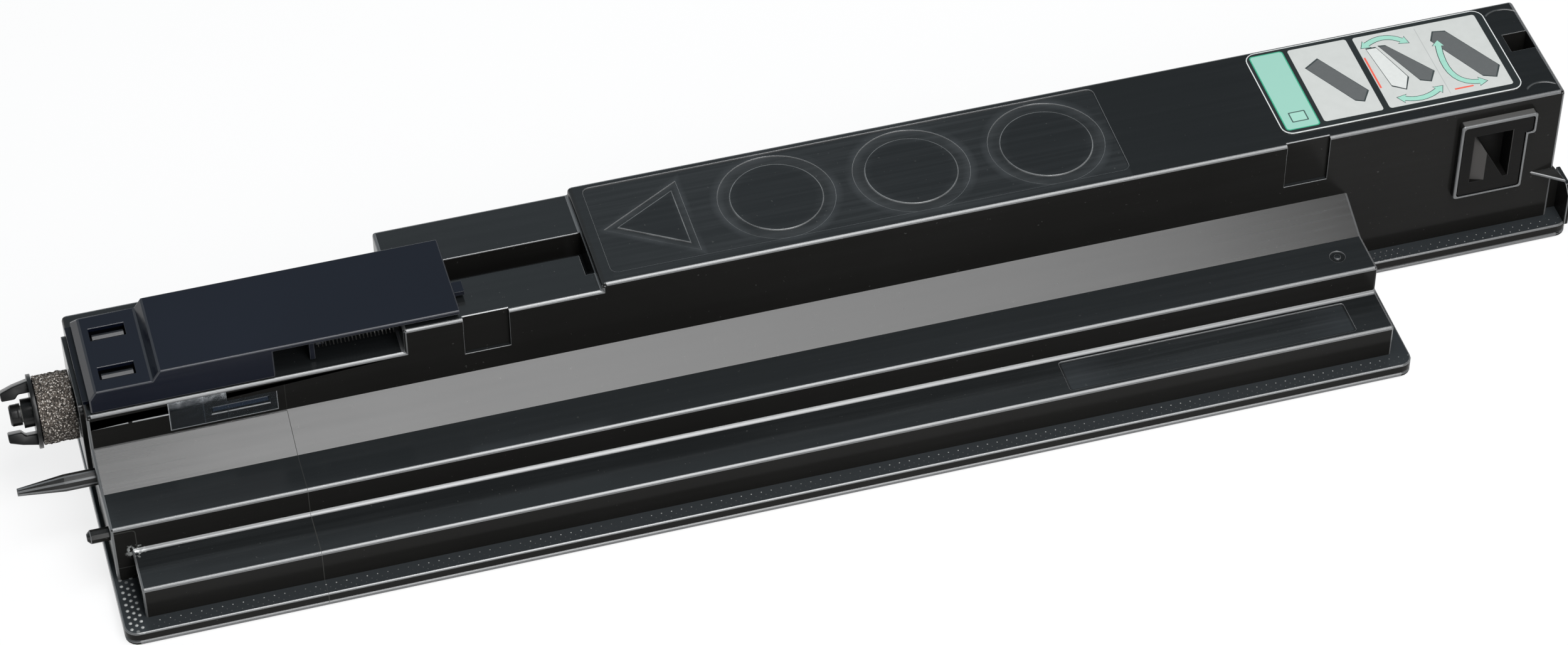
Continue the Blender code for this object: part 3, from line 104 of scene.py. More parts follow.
def feed(tree, socket, value):
    """Link a socket to another node's, or set its value."""
    if hasattr(value, "is_linked"):
        tree.links.new(value, socket)
    else:
        socket.default_value = value


def noise(tree, vector, scale, detail=4.0, roughness=0.5):
    """Cloudy noise between 0 and 1."""
    node = add(tree, "ShaderNodeTexNoise", Scale=scale, Detail=detail, Roughness=roughness)
    tree.links.new(vector, node.inputs["Vector"])
    return node.outputs["Fac"]


def flow_noise(tree, vector, stretch, scale, detail, roughness):
    """Noise drawn out along the length, as plastic flows in a mould."""
    stretched = add(tree, "ShaderNodeMapping", Scale=stretch)
    tree.links.new(vector, stretched.inputs["Vector"])
    return noise(tree, stretched.outputs["Vector"], scale, detail, roughness)


def ramp(tree, value, low, high, out_low, out_high):
    """Straight rise or fall between two values, level outside them."""
    node = tree.nodes.new("ShaderNodeMapRange")
    node.clamp = True
    tree.links.new(value, node.inputs["Value"])
    node.inputs["From Min"].default_value = low
    node.inputs["From Max"].default_value = high
    node.inputs["To Min"].default_value = out_low
    node.inputs["To Max"].default_value = out_high
    return node.outputs["Result"]


def mix(tree, factor, one, two):
    """Mix two colours; each may be a socket or a colour."""
    node = tree.nodes.new("ShaderNodeMix")
    node.data_type = "RGBA"
    feed(tree, node.inputs[MIX_FACTOR], factor)
    for index, colour in ((MIX_ONE, one), (MIX_TWO, two)):
        feed(tree, node.inputs[index], colour if hasattr(colour, "is_linked") else (*colour, 1.0))
    return node.outputs[MIX_COLOUR]


def overlay(tree, colour, layers):
    """Lay tones over a colour, each where its mask says."""
    for mask, tone in layers:
        colour = mix(tree, mask, colour, tone)
    return colour


def math_node(tree, operation, one, two=None, clamp=False):
    """Result of one operation on sockets or numbers."""
    node = tree.nodes.new("ShaderNodeMath")
    node.operation = operation
    node.use_clamp = clamp
    feed(tree, node.inputs[0], one)
    if two is not None:
        feed(tree, node.inputs[1], two)
    return node.outputs[0]


def times(tree, first, *others):
    """Product of sockets and numbers."""
    for other in others:
        first = math_node(tree, "MULTIPLY", first, other)
    return first


def plus(tree, first, *others):
    """Sum of sockets and numbers."""
    for other in others:
        first = math_node(tree, "ADD", first, other)
    return first


def union(tree, masks):
    """Largest of several masks or distances."""
    largest = masks[0]
    for other in masks[1:]:
        largest = math_node(tree, "MAXIMUM", largest, other)
    return largest


def vector_node(tree, operation, one, two=None):
    """Result of one operation on vectors; a length or a dot product is a number."""
    node = tree.nodes.new("ShaderNodeVectorMath")
    node.operation = operation
    feed(tree, node.inputs[0], one)
    if two is not None:
        feed(tree, node.inputs[1], two)
    return node.outputs["Value" if operation in ("LENGTH", "DOT_PRODUCT") else "Vector"]


def bump(tree, height, strength, distance, normal=None):
    """Normal of a surface with small heights on it, or on top of another normal."""
    node = add(tree, "ShaderNodeBump", Strength=strength, Distance=distance)
    tree.links.new(height, node.inputs["Height"])
    if normal is not None:
        tree.links.new(normal, node.inputs["Normal"])
    return node.outputs["Normal"]


def coordinates(tree, kind="Object"):
    """Place of a point, or its normal, in the object's own axes."""
    return tree.nodes.new("ShaderNodeTexCoord").outputs[kind]


def split(tree, vector):
    """The three parts of a vector."""
    node = tree.nodes.new("ShaderNodeSeparateXYZ")
    tree.links.new(vector, node.inputs[0])
    return node.outputs["X"], node.outputs["Y"], node.outputs["Z"]


def band(tree, value, low, high, soft):
    """1 between two values, falling to 0 over a soft width outside them."""
    rise = ramp(tree, value, low - soft, low, 0.0, 1.0)
    fall = ramp(tree, value, high, high + soft, 1.0, 0.0)
    return times(tree, rise, fall)


def round_distance(tree, where, centre, keep=(1, 1, 0)):
    """Distance from a centre, along the axes that are kept."""
    offset = vector_node(tree, "SUBTRACT", where, centre)
    return vector_node(tree, "LENGTH", vector_node(tree, "MULTIPLY", offset, keep))


def box_distance(tree, where, low, high, radius, keep=(1, 1, 0)):
    """Distance outside a rectangle with round corners, measured in a plane; negative inside."""
    centre = tuple((one + two) / 2 for one, two in zip(low, high))
    half = tuple((two - one) / 2 - radius if axis else 1.0 for one, two, axis in zip(low, high, keep))
    offset = vector_node(tree, "MULTIPLY", vector_node(tree, "SUBTRACT", where, centre), keep)
    over = vector_node(tree, "SUBTRACT", vector_node(tree, "ABSOLUTE", offset), half)
    outside = vector_node(tree, "LENGTH", vector_node(tree, "MAXIMUM", over, (0.0, 0.0, 0.0)))
    inside = math_node(tree, "MINIMUM", union(tree, split(tree, over)), 0.0)
    return math_node(tree, "SUBTRACT", plus(tree, outside, inside), radius)


def triangle_distance(tree, where, corners):
    """Largest of the distances outside the three sides; negative inside."""
    points = [Vector(corner) for corner in corners]
    middle = sum(points, Vector((0, 0))) / 3
    sides = []
    for one, two in zip(points, points[1:] + points[:1]):
        along = (two - one).normalized()
        normal = Vector((along.y, -along.x))
        if normal.dot(middle - one) > 0:
            normal = -normal
        reach = vector_node(tree, "DOT_PRODUCT", where, (normal.x, normal.y, 0.0))
        sides.append(math_node(tree, "SUBTRACT", reach, normal.dot(one) * MM))
    return union(tree, sides)


# Moulded plastics
# Edge roundings are painted paler and made metallic: a painted highlight along the edges
EDGE_METALLIC = 0.85
EDGE_ROUGHNESS = 0.12
EDGE_HIGHLIGHT_LIFT = 0.16
FINE_GRAIN = (420.0, 6.0, 0.6)
# Faces that lean this way get a painted highlight tone
LIT_FACET_LEAN = (-0.45, -0.25)


def paint_edge_highlights(tree, shader, colour, roughness, share, tone):
    """Paler, metallic edge roundings: a painted highlight along the edges; the mesh says where they are."""
    place = tree.nodes.new("ShaderNodeAttribute")
    place.attribute_name = "painted_edge_highlight"
    edge_highlight = times(tree, place.outputs["Fac"], share)
    tree.links.new(mix(tree, edge_highlight, colour, tone), shader.inputs["Base Color"])
    tree.links.new(times(tree, edge_highlight, EDGE_METALLIC), shader.inputs["Metallic"])
    total = math_node(tree, "ADD", roughness, times(tree, edge_highlight, EDGE_ROUGHNESS), clamp=True)
    tree.links.new(total, shader.inputs["Roughness"])


def moulded(name, dark, light, rough, grain=0.05, specular=0.5, edge_highlight=0.5, lit_facet_tone=None):
    """Moulded plastic: faint flow variation, fine grain, soft scuffs and a painted highlight on its edge
    roundings.

    A facet tone, where given, is painted light: a paler colour on faces that lean a little to the left, as
    in the plug's recess, where the light falls on them.
    """
    material, tree, shader = new_material(name)
    where = coordinates(tree)
    broad = noise(tree, where, 14.0, 3.0)
    flow = flow_noise(tree, where, (6.0, 160.0, 160.0), 4.0, 5.0, 0.6)
    colour = mix(tree, ramp(tree, broad, 0.35, 0.7, 0.0, 1.0), dark, light)
    if lit_facet_tone:
        leaning = split(tree, coordinates(tree, "Normal"))[0]
        colour = mix(tree, band(tree, leaning, *LIT_FACET_LEAN, 0.08), colour, lit_facet_tone)
    worn = times(tree, ramp(tree, flow, 0.3, 0.75, 0.0, 1.0), 0.10)
    patch = times(tree, broad, 0.08)
    roughness = plus(tree, worn, patch, rough - 0.08)
    paint_edge_highlights(tree, shader, colour, roughness, edge_highlight, tuple(EDGE_HIGHLIGHT_LIFT + part for part in light))
    fine = noise(tree, where, *FINE_GRAIN)
    height = plus(tree, times(tree, fine, 0.5), flow)
    tree.links.new(bump(tree, height, grain, 0.4 * MM), shader.inputs["Normal"])
    shader.inputs["Specular IOR Level"].default_value = specular
    return material


# The shell's plastic: upward part of a face's normal, places, tones and shares
UPWARD = (0.93, 0.99)
GENTLE = (0.80, 0.95)
STEEP = (0.1, 0.4)

# Tones round a groove in mm: width and fade of its halo of painted glow, and width of the darker ground
# inside it
GrooveTones = namedtuple("GrooveTones", "halo fade hollow")
RING_TONES = GrooveTones(0.4, 2.2, 2.5)
TRIANGLE_TONES = GrooveTones(0.3, 1.6, 1.6)
HOLLOW_GAP = 0.2 * MM
GROOVE_SOFT = 0.35 * MM
RIM_SOFT = 0.14 * MM
RIM_INSIDE = 0.20 * MM
RIM_OUTSIDE = 0.12 * MM
PANEL_SPAN = mm(-69.5, 88.0)
TOP_LEVEL = mm(55.9, 56.0)

GateMark = namedtuple("GateMark", "centre radius span")
GATE_MARKS = (
    GateMark((219.2, 35.1), 7.5, (214.7, 223.8)),
    GateMark((218.7, 2.2), 6.5, (214.4, 223.0)),
)

FLANGE_LEVEL = mm(4.7, 5.2)
FRONT_DOTS_START = mm(-219.0, -218.0)
LEFT_DOTS_END = mm(-220.5, -220.0)
RIGHT_DOTS_START = mm(158.0, 159.0)
DENSE_DOTS = mm(159.0, 176.0)

STEPPED_FRONT = mm(2.6, 3.2)
INSERT_LOW = mm(-230.0, 0.0, 10.0)
INSERT_HIGH = mm(-218.0, 0.0, 24.6)
INSERT_WALL = mm(-24.6, -23.9)
STRIP_LOW = mm(57.0, -37.6, 0.0)
STRIP_HIGH = mm(145.6, -26.6, 0.0)
STRIP_LEVEL = mm(16.05, 16.15)
FLASH_PLACE = mm(-218.6, -24.2, 16.3)

# Bluish tones of the painted sky reflection on upward faces
SKY_REFLECTION_TONES = ((0.0085, 0.0105, 0.0120), (0.0125, 0.0150, 0.0165))
# Tone of the paler streaks: streaky reflection painted along the flow marks
STREAK_SHEEN_TONE = (0.034, 0.037, 0.039)
# Groove tones: a painted glow as halo, a darker ground inside, and painted highlights on the rims, whose
# pale tone the fine arcs share
HALO_TONE = (0.044, 0.048, 0.051)
HOLLOW_TONE = (0.0040, 0.0046, 0.0050)
RIM_HIGHLIGHT_AND_ARC_TONE = (0.30, 0.31, 0.31)
PARTING_TONE = (0.07, 0.07, 0.065)
GLINT_AND_FLASH_TONE = (0.52, 0.53, 0.52)
DUST_TONE = (0.20, 0.20, 0.19)
STRIP_TONE = (0.030, 0.035, 0.039)
# Pale tone of the painted highlight on the shell's edge roundings
EDGE_HIGHLIGHT_TONE = (0.36, 0.365, 0.37)
SHELL_SPECULAR = 0.46
WALL_SPECULAR = 0.06

# Painted light and shade on the flat tops, by level in mm and from an x on: paler flange, terrace and
# collar's rim, a darker ridge
LevelLight = namedtuple("LevelLight", "low high start share tone")
LEVEL_LIGHT = (
    LevelLight(4.7, 5.0, -300.0, 0.6, (0.034, 0.039, 0.043)),
    LevelLight(26.1, 26.4, -300.0, 0.5, (0.020, 0.023, 0.025)),
    LevelLight(56.6, 56.8, 88.0, 0.6, (0.0030, 0.0034, 0.0034)),
    LevelLight(51.8, 52.1, 190.0, 0.8, (0.110, 0.108, 0.105)),
)


def groove_masks(tree, where):
    """Painted highlights on the grooves' rims, painted glow in paler haloes round them, darker ground inside
    them, and the panel itself.
    """
    x, _, z = split(tree, where)
    ring = mm(RING_MIDDLE - GROOVE_HALF, RING_MIDDLE + GROOVE_HALF)
    shapes = [(round_distance(tree, where, mm(*centre, 0.0)), ring, RING_TONES) for centre in RING_CENTRES]
    shapes.append((triangle_distance(tree, where, TRIANGLE), mm(-TRIANGLE_BAND, 0.0), TRIANGLE_TONES))
    grooves, rims, haloes, hollows = [], [], [], []
    for away, (low, high), tones in shapes:
        grooves.append(band(tree, away, low, high, GROOVE_SOFT))
        rims.append(band(tree, away, low - RIM_INSIDE, low, RIM_SOFT))
        rims.append(times(tree, band(tree, away, high, high + RIM_OUTSIDE, RIM_SOFT), 0.35))
        haloes.append(band(tree, away, high, high + tones.halo * MM, tones.fade * MM))
        hollows.append(ramp(tree, away, low - tones.hollow * MM, low - HOLLOW_GAP, 1.0, 0.0))
    panel = times(tree, ramp(tree, z, *TOP_LEVEL, 0.0, 1.0), band(tree, x, *PANEL_SPAN, 0.1 * MM))
    groove = times(tree, union(tree, grooves), panel)
    rim = plus(tree, times(tree, union(tree, rims), panel), times(tree, groove, 0.05))
    halo = times(tree, union(tree, haloes), panel)
    hollow = times(tree, union(tree, hollows), panel)
    return rim, halo, hollow, panel


def gate_masks(tree, where):
    """Fine arcs on the top at the right, and the pip of the gate on the terrace."""
    x, y, z = split(tree, where)
    arcs = []
    for mark in GATE_MARKS:
        away = round_distance(tree, where, mm(*mark.centre, 0.0))
        line = band(tree, away, *mm(mark.radius - 0.12, mark.radius + 0.12), 0.3 * MM)
        part = band(tree, x, *mm(*mark.span), 0.5 * MM)
        behind = ramp(tree, y, *mm(mark.centre[1] + 2.0, mark.centre[1] + 3.0), 0.0, 1.0)
        arcs.append(times(tree, line, part, behind))
    arc = times(tree, union(tree, arcs), ramp(tree, z, *TOP_LEVEL, 0.0, 1.0))
    from_pip = round_distance(tree, where, mm(*GATE_PIP, GATE_PIP_TOP), (1, 1, 1))
    return arc, ramp(tree, from_pip, *mm(0.2, 1.1), 1.0, 0.0)


def dot_rows(tree, x, y, rows):
    """Dots in rows along the first axis; each row has a place and an offset."""
    masks = []
    for place, offset in rows.places:
        along = math_node(tree, "PINGPONG", plus(tree, x, offset * MM), rows.pitch * MM / 2)
        gap = math_node(tree, "SUBTRACT", y, place * MM)
        square = plus(tree, times(tree, along, along), times(tree, gap, gap))
        away = math_node(tree, "SQRT", square)
        masks.append(ramp(tree, away, *mm(rows.radius * 0.5, rows.radius), 1.0, 0.0))
    return union(tree, masks)


def weld_pip_glints(tree, where):
    """Painted glints: paler tops of the weld pips along the flange."""
    x, y, z = split(tree, where)
    on_flange = band(tree, z, *FLANGE_LEVEL, 0.1 * MM)
    small = times(tree, dot_rows(tree, x, y, SMALL_ROWS), 0.28)
    front = union(tree, [dot_rows(tree, x, y, FRONT_ROW), small])
    front = times(tree, front, ramp(tree, x, *FRONT_DOTS_START, 0.0, 0.8))
    left = times(tree, dot_rows(tree, y, x, LEFT_ROWS), ramp(tree, x, *LEFT_DOTS_END, 1.0, 0.0))
    dense = union(tree, [dot_rows(tree, x, y, DENSE_ROWS), dot_rows(tree, x, y, OUTER_STAIN)])
    dense = times(tree, dense, band(tree, x, *DENSE_DOTS, 0.5 * MM))
    right = union(tree, [dot_rows(tree, x, y, RIGHT_ROWS), dense])
    right = times(tree, right, ramp(tree, x, *RIGHT_DOTS_START, 0.0, 0.7))
    patchy = ramp(tree, noise(tree, where, 60.0, 2.0), 0.38, 0.55, 0.25, 1.0)
    return times(tree, union(tree, [front, left, right]), on_flange, patchy)


def parting_masks(tree, where):
    """Step of the mould's parting across the front, and the fine lines of parting and insert."""
    x, y, _ = split(tree, where)
    in_front = ramp(tree, y, *STEPPED_FRONT, 1.0, 0.0)
    step = times(tree, ramp(tree, x, *mm(PARTING_X - 0.08, PARTING_X + 0.08), 1.0, 0.0), in_front)
    line = times(tree, band(tree, x, *mm(PARTING_X - 0.05, PARTING_X + 0.05), 0.12 * MM), in_front)
    from_insert = box_distance(tree, where, INSERT_LOW, INSERT_HIGH, 1.2 * MM, (1, 0, 1))
    outline = band(tree, from_insert, *mm(-0.10, 0.05), 0.12 * MM)
    outline = times(tree, outline, band(tree, y, *INSERT_WALL, 0.1 * MM))
    return step, union(tree, [line, outline])


def strip_mask(tree, where, upward):
    """Recessed strip of the lower terrace, strongest at both ends."""
    x, _, z = split(tree, where)
    from_strip = box_distance(tree, where, STRIP_LOW, STRIP_HIGH, 0.8 * MM)
    strip = times(tree, ramp(tree, from_strip, -0.2 * MM, 0.0, 1.0, 0.0), upward)
    strip = times(tree, strip, ramp(tree, z, *STRIP_LEVEL, 1.0, 0.0))
    half = (STRIP_HIGH[0] - STRIP_LOW[0]) / 2
    from_end = math_node(tree, "PINGPONG", math_node(tree, "SUBTRACT", x, STRIP_LOW[0]), half)
    return times(tree, strip, ramp(tree, from_end, *mm(4.0, 16.0), 1.0, 0.25))


def painted_level_light(tree, where, upward):
    """Masks and tones of painted light and shade on the flat parts at certain levels."""
    x, _, z = split(tree, where)
    layers = []
    for painted in LEVEL_LIGHT:
        level = times(tree, band(tree, z, *mm(painted.low, painted.high), 0.1 * MM), upward)
        start = ramp(tree, x, *mm(painted.start - 0.5, painted.start + 0.5), 0.0, painted.share)
        layers.append((times(tree, level, start), painted.tone))
    return layers


def shell_material(name, dark, light, rough):
    """Glossy moulded plastic with flow marks, dust, weld dots and the marks of its mould, and painted light:
    bluish reflection and paler streaks on its tops, highlights on its edges, groove rims and pips, glow
    round its grooves and tints by level.
    """
    material, tree, shader = new_material(name)
    where = coordinates(tree)
    rising = split(tree, coordinates(tree, "Normal"))[2]
    upward = ramp(tree, rising, *UPWARD, 0.0, 1.0)
    calm = ramp(tree, rising, *GENTLE, 0.2, 1.0)
    broad = noise(tree, where, 12.0, 4.0)
    flow = flow_noise(tree, where, (5.0, 190.0, 190.0), 3.0, 6.0, 0.62)
    rim, halo, hollow, panel = groove_masks(tree, where)
    arc, pip = gate_masks(tree, where)
    pip_glints = weld_pip_glints(tree, where)
    step, parting = parting_masks(tree, where)
    strip = strip_mask(tree, where, upward)

    # Paler streaks along the flow on the gentler, upward faces, strongest on the panel and the strip:
    # painted streaky reflection
    streak_sheen = times(tree, ramp(tree, flow, 0.42, 0.80, 0.0, 1.0), ramp(tree, broad, 0.3, 0.65, 0.2, 1.0), calm)
    amount = plus(tree, 0.35, times(tree, union(tree, [panel, strip]), 0.60))
    glow_patches = ramp(tree, noise(tree, where, 75.0, 4.0), 0.36, 0.62, 0.1, 0.6)
    uneven = ramp(tree, noise(tree, where, 110.0, 3.0), 0.35, 0.6, 0.25, 1.0)
    flash = ramp(tree, round_distance(tree, where, FLASH_PLACE, (1, 1, 1)), *mm(1.2, 3.4), 1.0, 0.0)
    flash = times(tree, flash, ramp(tree, noise(tree, where, 700.0, 4.0), 0.5, 0.56, 0.0, 1.0))
    specks = ramp(tree, noise(tree, where, 900.0, 2.0), 0.735, 0.76, 0.0, 1.0)
    colour = mix(tree, ramp(tree, broad, 0.35, 0.7, 0.0, 1.0), dark, light)
    colour = overlay(tree, colour, [
        # Upward faces take a bluish tone: painted reflection of the sky
        (times(tree, upward, 0.6), mix(tree, broad, *SKY_REFLECTION_TONES)),
        (times(tree, streak_sheen, amount), STREAK_SHEEN_TONE),
        # A paler halo round each groove: painted glow
        (times(tree, halo, glow_patches), HALO_TONE),
        (times(tree, hollow, 0.5), HOLLOW_TONE),
        # Groove rims take a pale tone: painted highlights; the fine arcs share that tone
        (times(tree, union(tree, [times(tree, rim, uneven), arc]), 0.5), RIM_HIGHLIGHT_AND_ARC_TONE),
        (times(tree, parting, 0.5), PARTING_TONE),
        # Weld pips get a paler tone: painted glints on their tops; the speckled spot by the lower terrace's
        # left end shares that tone
        (times(tree, union(tree, [pip_glints, flash]), 0.75), GLINT_AND_FLASH_TONE),
        (times(tree, specks, 0.16), DUST_TONE),
        # Painted light and shade on flat tops at certain levels
        *painted_level_light(tree, where, upward),
        (times(tree, strip, 0.45), STRIP_TONE),
    ])

    worn = times(tree, ramp(tree, flow, 0.35, 0.75, 0.0, 1.0), 0.07, calm)
    patch = times(tree, ramp(tree, broad, 0.4, 0.7, 0.0, 1.0), 0.05)
    roughness = plus(tree, worn, patch, rough, times(tree, pip_glints, 0.3))
    paint_edge_highlights(tree, shader, colour, roughness, 1.0, EDGE_HIGHLIGHT_TONE)
    # An export that drops the link keeps the even value
    shader.inputs["Specular IOR Level"].default_value = SHELL_SPECULAR
    gloss = ramp(tree, rising, *STEEP, WALL_SPECULAR, SHELL_SPECULAR)
    tree.links.new(gloss, shader.inputs["Specular IOR Level"])
    height = plus(tree, times(tree, arc, 0.7), times(tree, pip, 0.6))
    surface = bump(tree, height, 1.0, 0.30 * MM)
    surface = bump(tree, step, 1.0, 0.06 * MM, surface)
    fine = noise(tree, where, *FINE_GRAIN)
    grain = plus(tree, times(tree, fine, 0.4), times(tree, flow, calm))
    tree.links.new(bump(tree, grain, 0.018, 0.4 * MM, surface), shader.inputs["Normal"])
    return material


# Other materials
def foam_material(name):
    """Open-cell sponge: dark walls, pale specks and deep pores."""
    material, tree, shader = new_material(name)
    where = coordinates(tree)
    cells = add(tree, "ShaderNodeTexVoronoi", Scale=1500.0)
    tree.links.new(where, cells.inputs["Vector"])
    pores = ramp(tree, cells.outputs["Distance"], 0.15, 0.6, 0.0, 1.0)
    speck = ramp(tree, noise(tree, where, 1900.0, 2.0), 0.56, 0.63, 0.0, 1.0)
    wall = mix(tree, pores, (0.020, 0.016, 0.013), (0.100, 0.083, 0.069))
    colour = mix(tree, times(tree, speck, 0.9), wall, (0.80, 0.74, 0.68))
    tree.links.new(colour, shader.inputs["Base Color"])
    shader.inputs["Roughness"].default_value = 0.9
    rise = plus(tree, pores, noise(tree, where, 2200.0, 3.0))
    tree.links.new(bump(tree, rise, 0.9, 0.6 * MM), shader.inputs["Normal"])
    return material


def felt_material(name, dark, light):
    """Felt or fine closed sponge."""
    material, tree, shader = new_material(name)
    fibres = noise(tree, coordinates(tree), 1800.0, 8.0, 0.7)
    tree.links.new(mix(tree, fibres, dark, light), shader.inputs["Base Color"])
    shader.inputs["Roughness"].default_value = 0.95
    shader.inputs["Sheen Weight"].default_value = 0.3
    tree.links.new(bump(tree, fibres, 0.7, 0.5 * MM), shader.inputs["Normal"])
    return material


def steel_material(name):
    """Drawn spring wire with fine draw lines."""
    material, tree, shader = new_material(name)
    lines = noise(tree, coordinates(tree), 3000.0, 3.0)
    colour = mix(tree, lines, (0.10, 0.098, 0.094), (0.20, 0.195, 0.185))
    tree.links.new(colour, shader.inputs["Base Color"])
    shader.inputs["Metallic"].default_value = 1.0
    tree.links.new(ramp(tree, lines, 0.3, 0.7, 0.25, 0.42), shader.inputs["Roughness"])
    return material


# Rim, seams and the stretch along the top with trapped air and a painted highlight, of the clear tape, in x
# and z
TAPE_LOW = mm(-201.7, 0.0, 33.3)
TAPE_HIGH = mm(-170.2, 0.0, 45.8)
TAPE_SEAMS = (-191.6, -184.8)
TAPE_TOP_BAND = mm(41.2, 44.0)


def tape_material(name):
    """Clear tape: nearly invisible, with paler cut edges, seams, and trapped air along its top that is
    painted paler as a highlight.
    """
    material, tree, shader = new_material(name)
    where = coordinates(tree)
    x, _, z = split(tree, where)
    inside = box_distance(tree, where, TAPE_LOW, TAPE_HIGH, 0.1 * MM, (1, 0, 1))
    rim = ramp(tree, math_node(tree, "ABSOLUTE", inside), *mm(0.10, 0.45), 1.0, 0.0)
    seams = [band(tree, x, *mm(place - 0.1, place + 0.1), 0.12 * MM) for place in TAPE_SEAMS]
    # Along the top: trapped air and a painted highlight streak, paler and less clear
    air_and_highlight = ramp(tree, noise(tree, where, 380.0, 5.0, 0.6), 0.42, 0.66, 0.35, 1.0)
    air_and_highlight = times(tree, air_and_highlight, ramp(tree, z, *TAPE_TOP_BAND, 0.0, 1.0))
    haze = ramp(tree, noise(tree, where, 90.0, 4.0), 0.4, 0.75, 0.0, 0.10)
    edges = times(tree, union(tree, [rim, union(tree, seams)]), 0.24)
    shown = plus(tree, edges, haze, times(tree, air_and_highlight, 0.50))
    tree.links.new(math_node(tree, "ADD", shown, 0.10, clamp=True), shader.inputs["Alpha"])
    colour = mix(tree, union(tree, [air_and_highlight, rim]), (0.045, 0.055, 0.065), (0.52, 0.54, 0.56))
    tree.links.new(colour, shader.inputs["Base Color"])
    shader.inputs["Roughness"].default_value = 0.12
    waves = noise(tree, where, 130.0, 2.0)
    tree.links.new(bump(tree, waves, 0.12, 0.5 * MM), shader.inputs["Normal"])
    return material


# Printed areas of the label: two corners and a corner radius in mm, and a tone, or None for plain paper
Area = namedtuple("Area", "low high corner tone")
LABEL_AREAS = (
    Area((137.1, 7.8), (213.3, 43.8), 3.2, (0.012, 0.016, 0.016)),
    Area((138.15, 9.05), (148.95, 42.85), 1.1, (0.04, 0.36, 0.21)),
    Area((138.5, 9.4), (148.6, 42.5), 0.9, (0.30, 0.55, 0.46)),
    Area((150.4, 9.8), (169.3, 42.5), 0.9, None),
    Area((171.3, 9.9), (211.0, 42.3), 0.9, None),
    Area((141.0, 12.0), (146.3, 16.4), 0.3, (0.05, 0.09, 0.08)),
    Area((141.4, 12.4), (145.9, 16.0), 0.2, (0.34, 0.60, 0.50)),
    Area((191.0, 11.0), (191.2, 41.3), 0.05, (0.40, 0.41, 0.40)),
)
PRINT_SOFT = 0.06 * MM


def label_material(name):
    """Printed film: white at its cut edge, dark ground, one mint block and two pale panels."""
    material, tree, shader = new_material(name)
    where = coordinates(tree)
    mottle = noise(tree, where, 300.0, 4.0)
    pale = mix(tree, mottle, (0.52, 0.53, 0.51), (0.58, 0.59, 0.57))
    colour = mix(tree, mottle, (0.66, 0.67, 0.66), (0.74, 0.75, 0.74))
    for area in LABEL_AREAS:
        away = box_distance(tree, where, mm(*area.low, 0.0), mm(*area.high, 0.0), area.corner * MM)
        printed = ramp(tree, away, -PRINT_SOFT, PRINT_SOFT, 1.0, 0.0)
        colour = mix(tree, printed, colour, area.tone or pale)
    tree.links.new(colour, shader.inputs["Base Color"])
    tree.links.new(ramp(tree, mottle, 0.3, 0.7, 0.30, 0.42), shader.inputs["Roughness"])
    waves = noise(tree, where, 60.0, 2.0)
    tree.links.new(bump(tree, waves, 0.05, 0.5 * MM), shader.inputs["Normal"])
    return material


def ink_material(name, tone):
    """Printing ink with a little mottle."""
    material, tree, shader = new_material(name)
    mottle = noise(tree, coordinates(tree), 700.0, 4.0)
    paler = tuple(part * 1.15 for part in tone)
    tree.links.new(mix(tree, mottle, tone, paler), shader.inputs["Base Color"])
    tree.links.new(ramp(tree, mottle, 0.3, 0.7, 0.32, 0.44), shader.inputs["Roughness"])
    return material


shell_plastic = shell_material(
    "shell_black", (0.0086, 0.0083, 0.0077), (0.0112, 0.0109, 0.0102), rough=0.13
)
shutter_plastic = moulded(
    "shutter_blue_black", (0.0030, 0.0044, 0.0100), (0.0044, 0.0062, 0.0132),
    rough=0.18, grain=0.03, specular=0.34,
)
carrier_plastic = moulded("carrier_black", (0.012, 0.013, 0.016), (0.020, 0.021, 0.024), rough=0.35)
coupling_plastic = moulded(
    "coupling_black", (0.0070, 0.0070, 0.0070), (0.0110, 0.0110, 0.0110),
    rough=0.30, specular=0.30,
)
# The plug's left-leaning recess facet gets a painted highlight
plug_plastic = moulded(
    "plug_black", (0.0050, 0.0048, 0.0046), (0.0080, 0.0077, 0.0074),
    rough=0.36, grain=0.12, specular=0.05, edge_highlight=0.12, lit_facet_tone=(0.060, 0.057, 0.055),
)
screw_plastic = moulded("screw_natural", (0.52, 0.51, 0.47), (0.64, 0.63, 0.59), rough=0.42)
bush_plastic = moulded("bush_white", (0.62, 0.61, 0.57), (0.74, 0.73, 0.69), rough=0.38)
lock_plastic = moulded("lock_navy", (0.010, 0.018, 0.036), (0.014, 0.024, 0.046), rough=0.22)
foam = foam_material("sponge_brown")
felt = felt_material("felt_grey", (0.16, 0.155, 0.14), (0.33, 0.32, 0.30))
gasket_sponge = felt_material("gasket_sponge_black", (0.018, 0.018, 0.018), (0.045, 0.045, 0.045))
spring_steel = steel_material("spring_wire")
clear_tape = tape_material("clear_tape_film")
label_film = label_material("label_film_print")
ink_grey = ink_material("ink_grey", (0.10, 0.105, 0.105))
ink_dark = ink_material("ink_dark", (0.035, 0.045, 0.045))
ink_white = ink_material("ink_white", (0.60, 0.61, 0.59))
ink_mint = ink_material("ink_mint", (0.30, 0.56, 0.46))
ink_red = ink_material("ink_red", (0.72, 0.11, 0.07))


# Mesh helpers
def link(obj):
    """Put an object in the scene."""
    bpy.context.scene.collection.objects.link(obj)
    return obj


def mesh_object(name, work):
    """Object made of finished geometry, which is then let go."""
    mesh = bpy.data.meshes.new(name)
    work.to_mesh(mesh)
    work.free()
    return link(bpy.data.objects.new(name, mesh))


def circle(centre, radius, count):
    """Points of a circle in mm."""
    turns = [2 * math.pi * (index + 0.5) / count for index in range(count)]
    return [
        (centre[0] + radius * math.cos(turn), centre[1] + radius * math.sin(turn)) for turn in turns
    ]


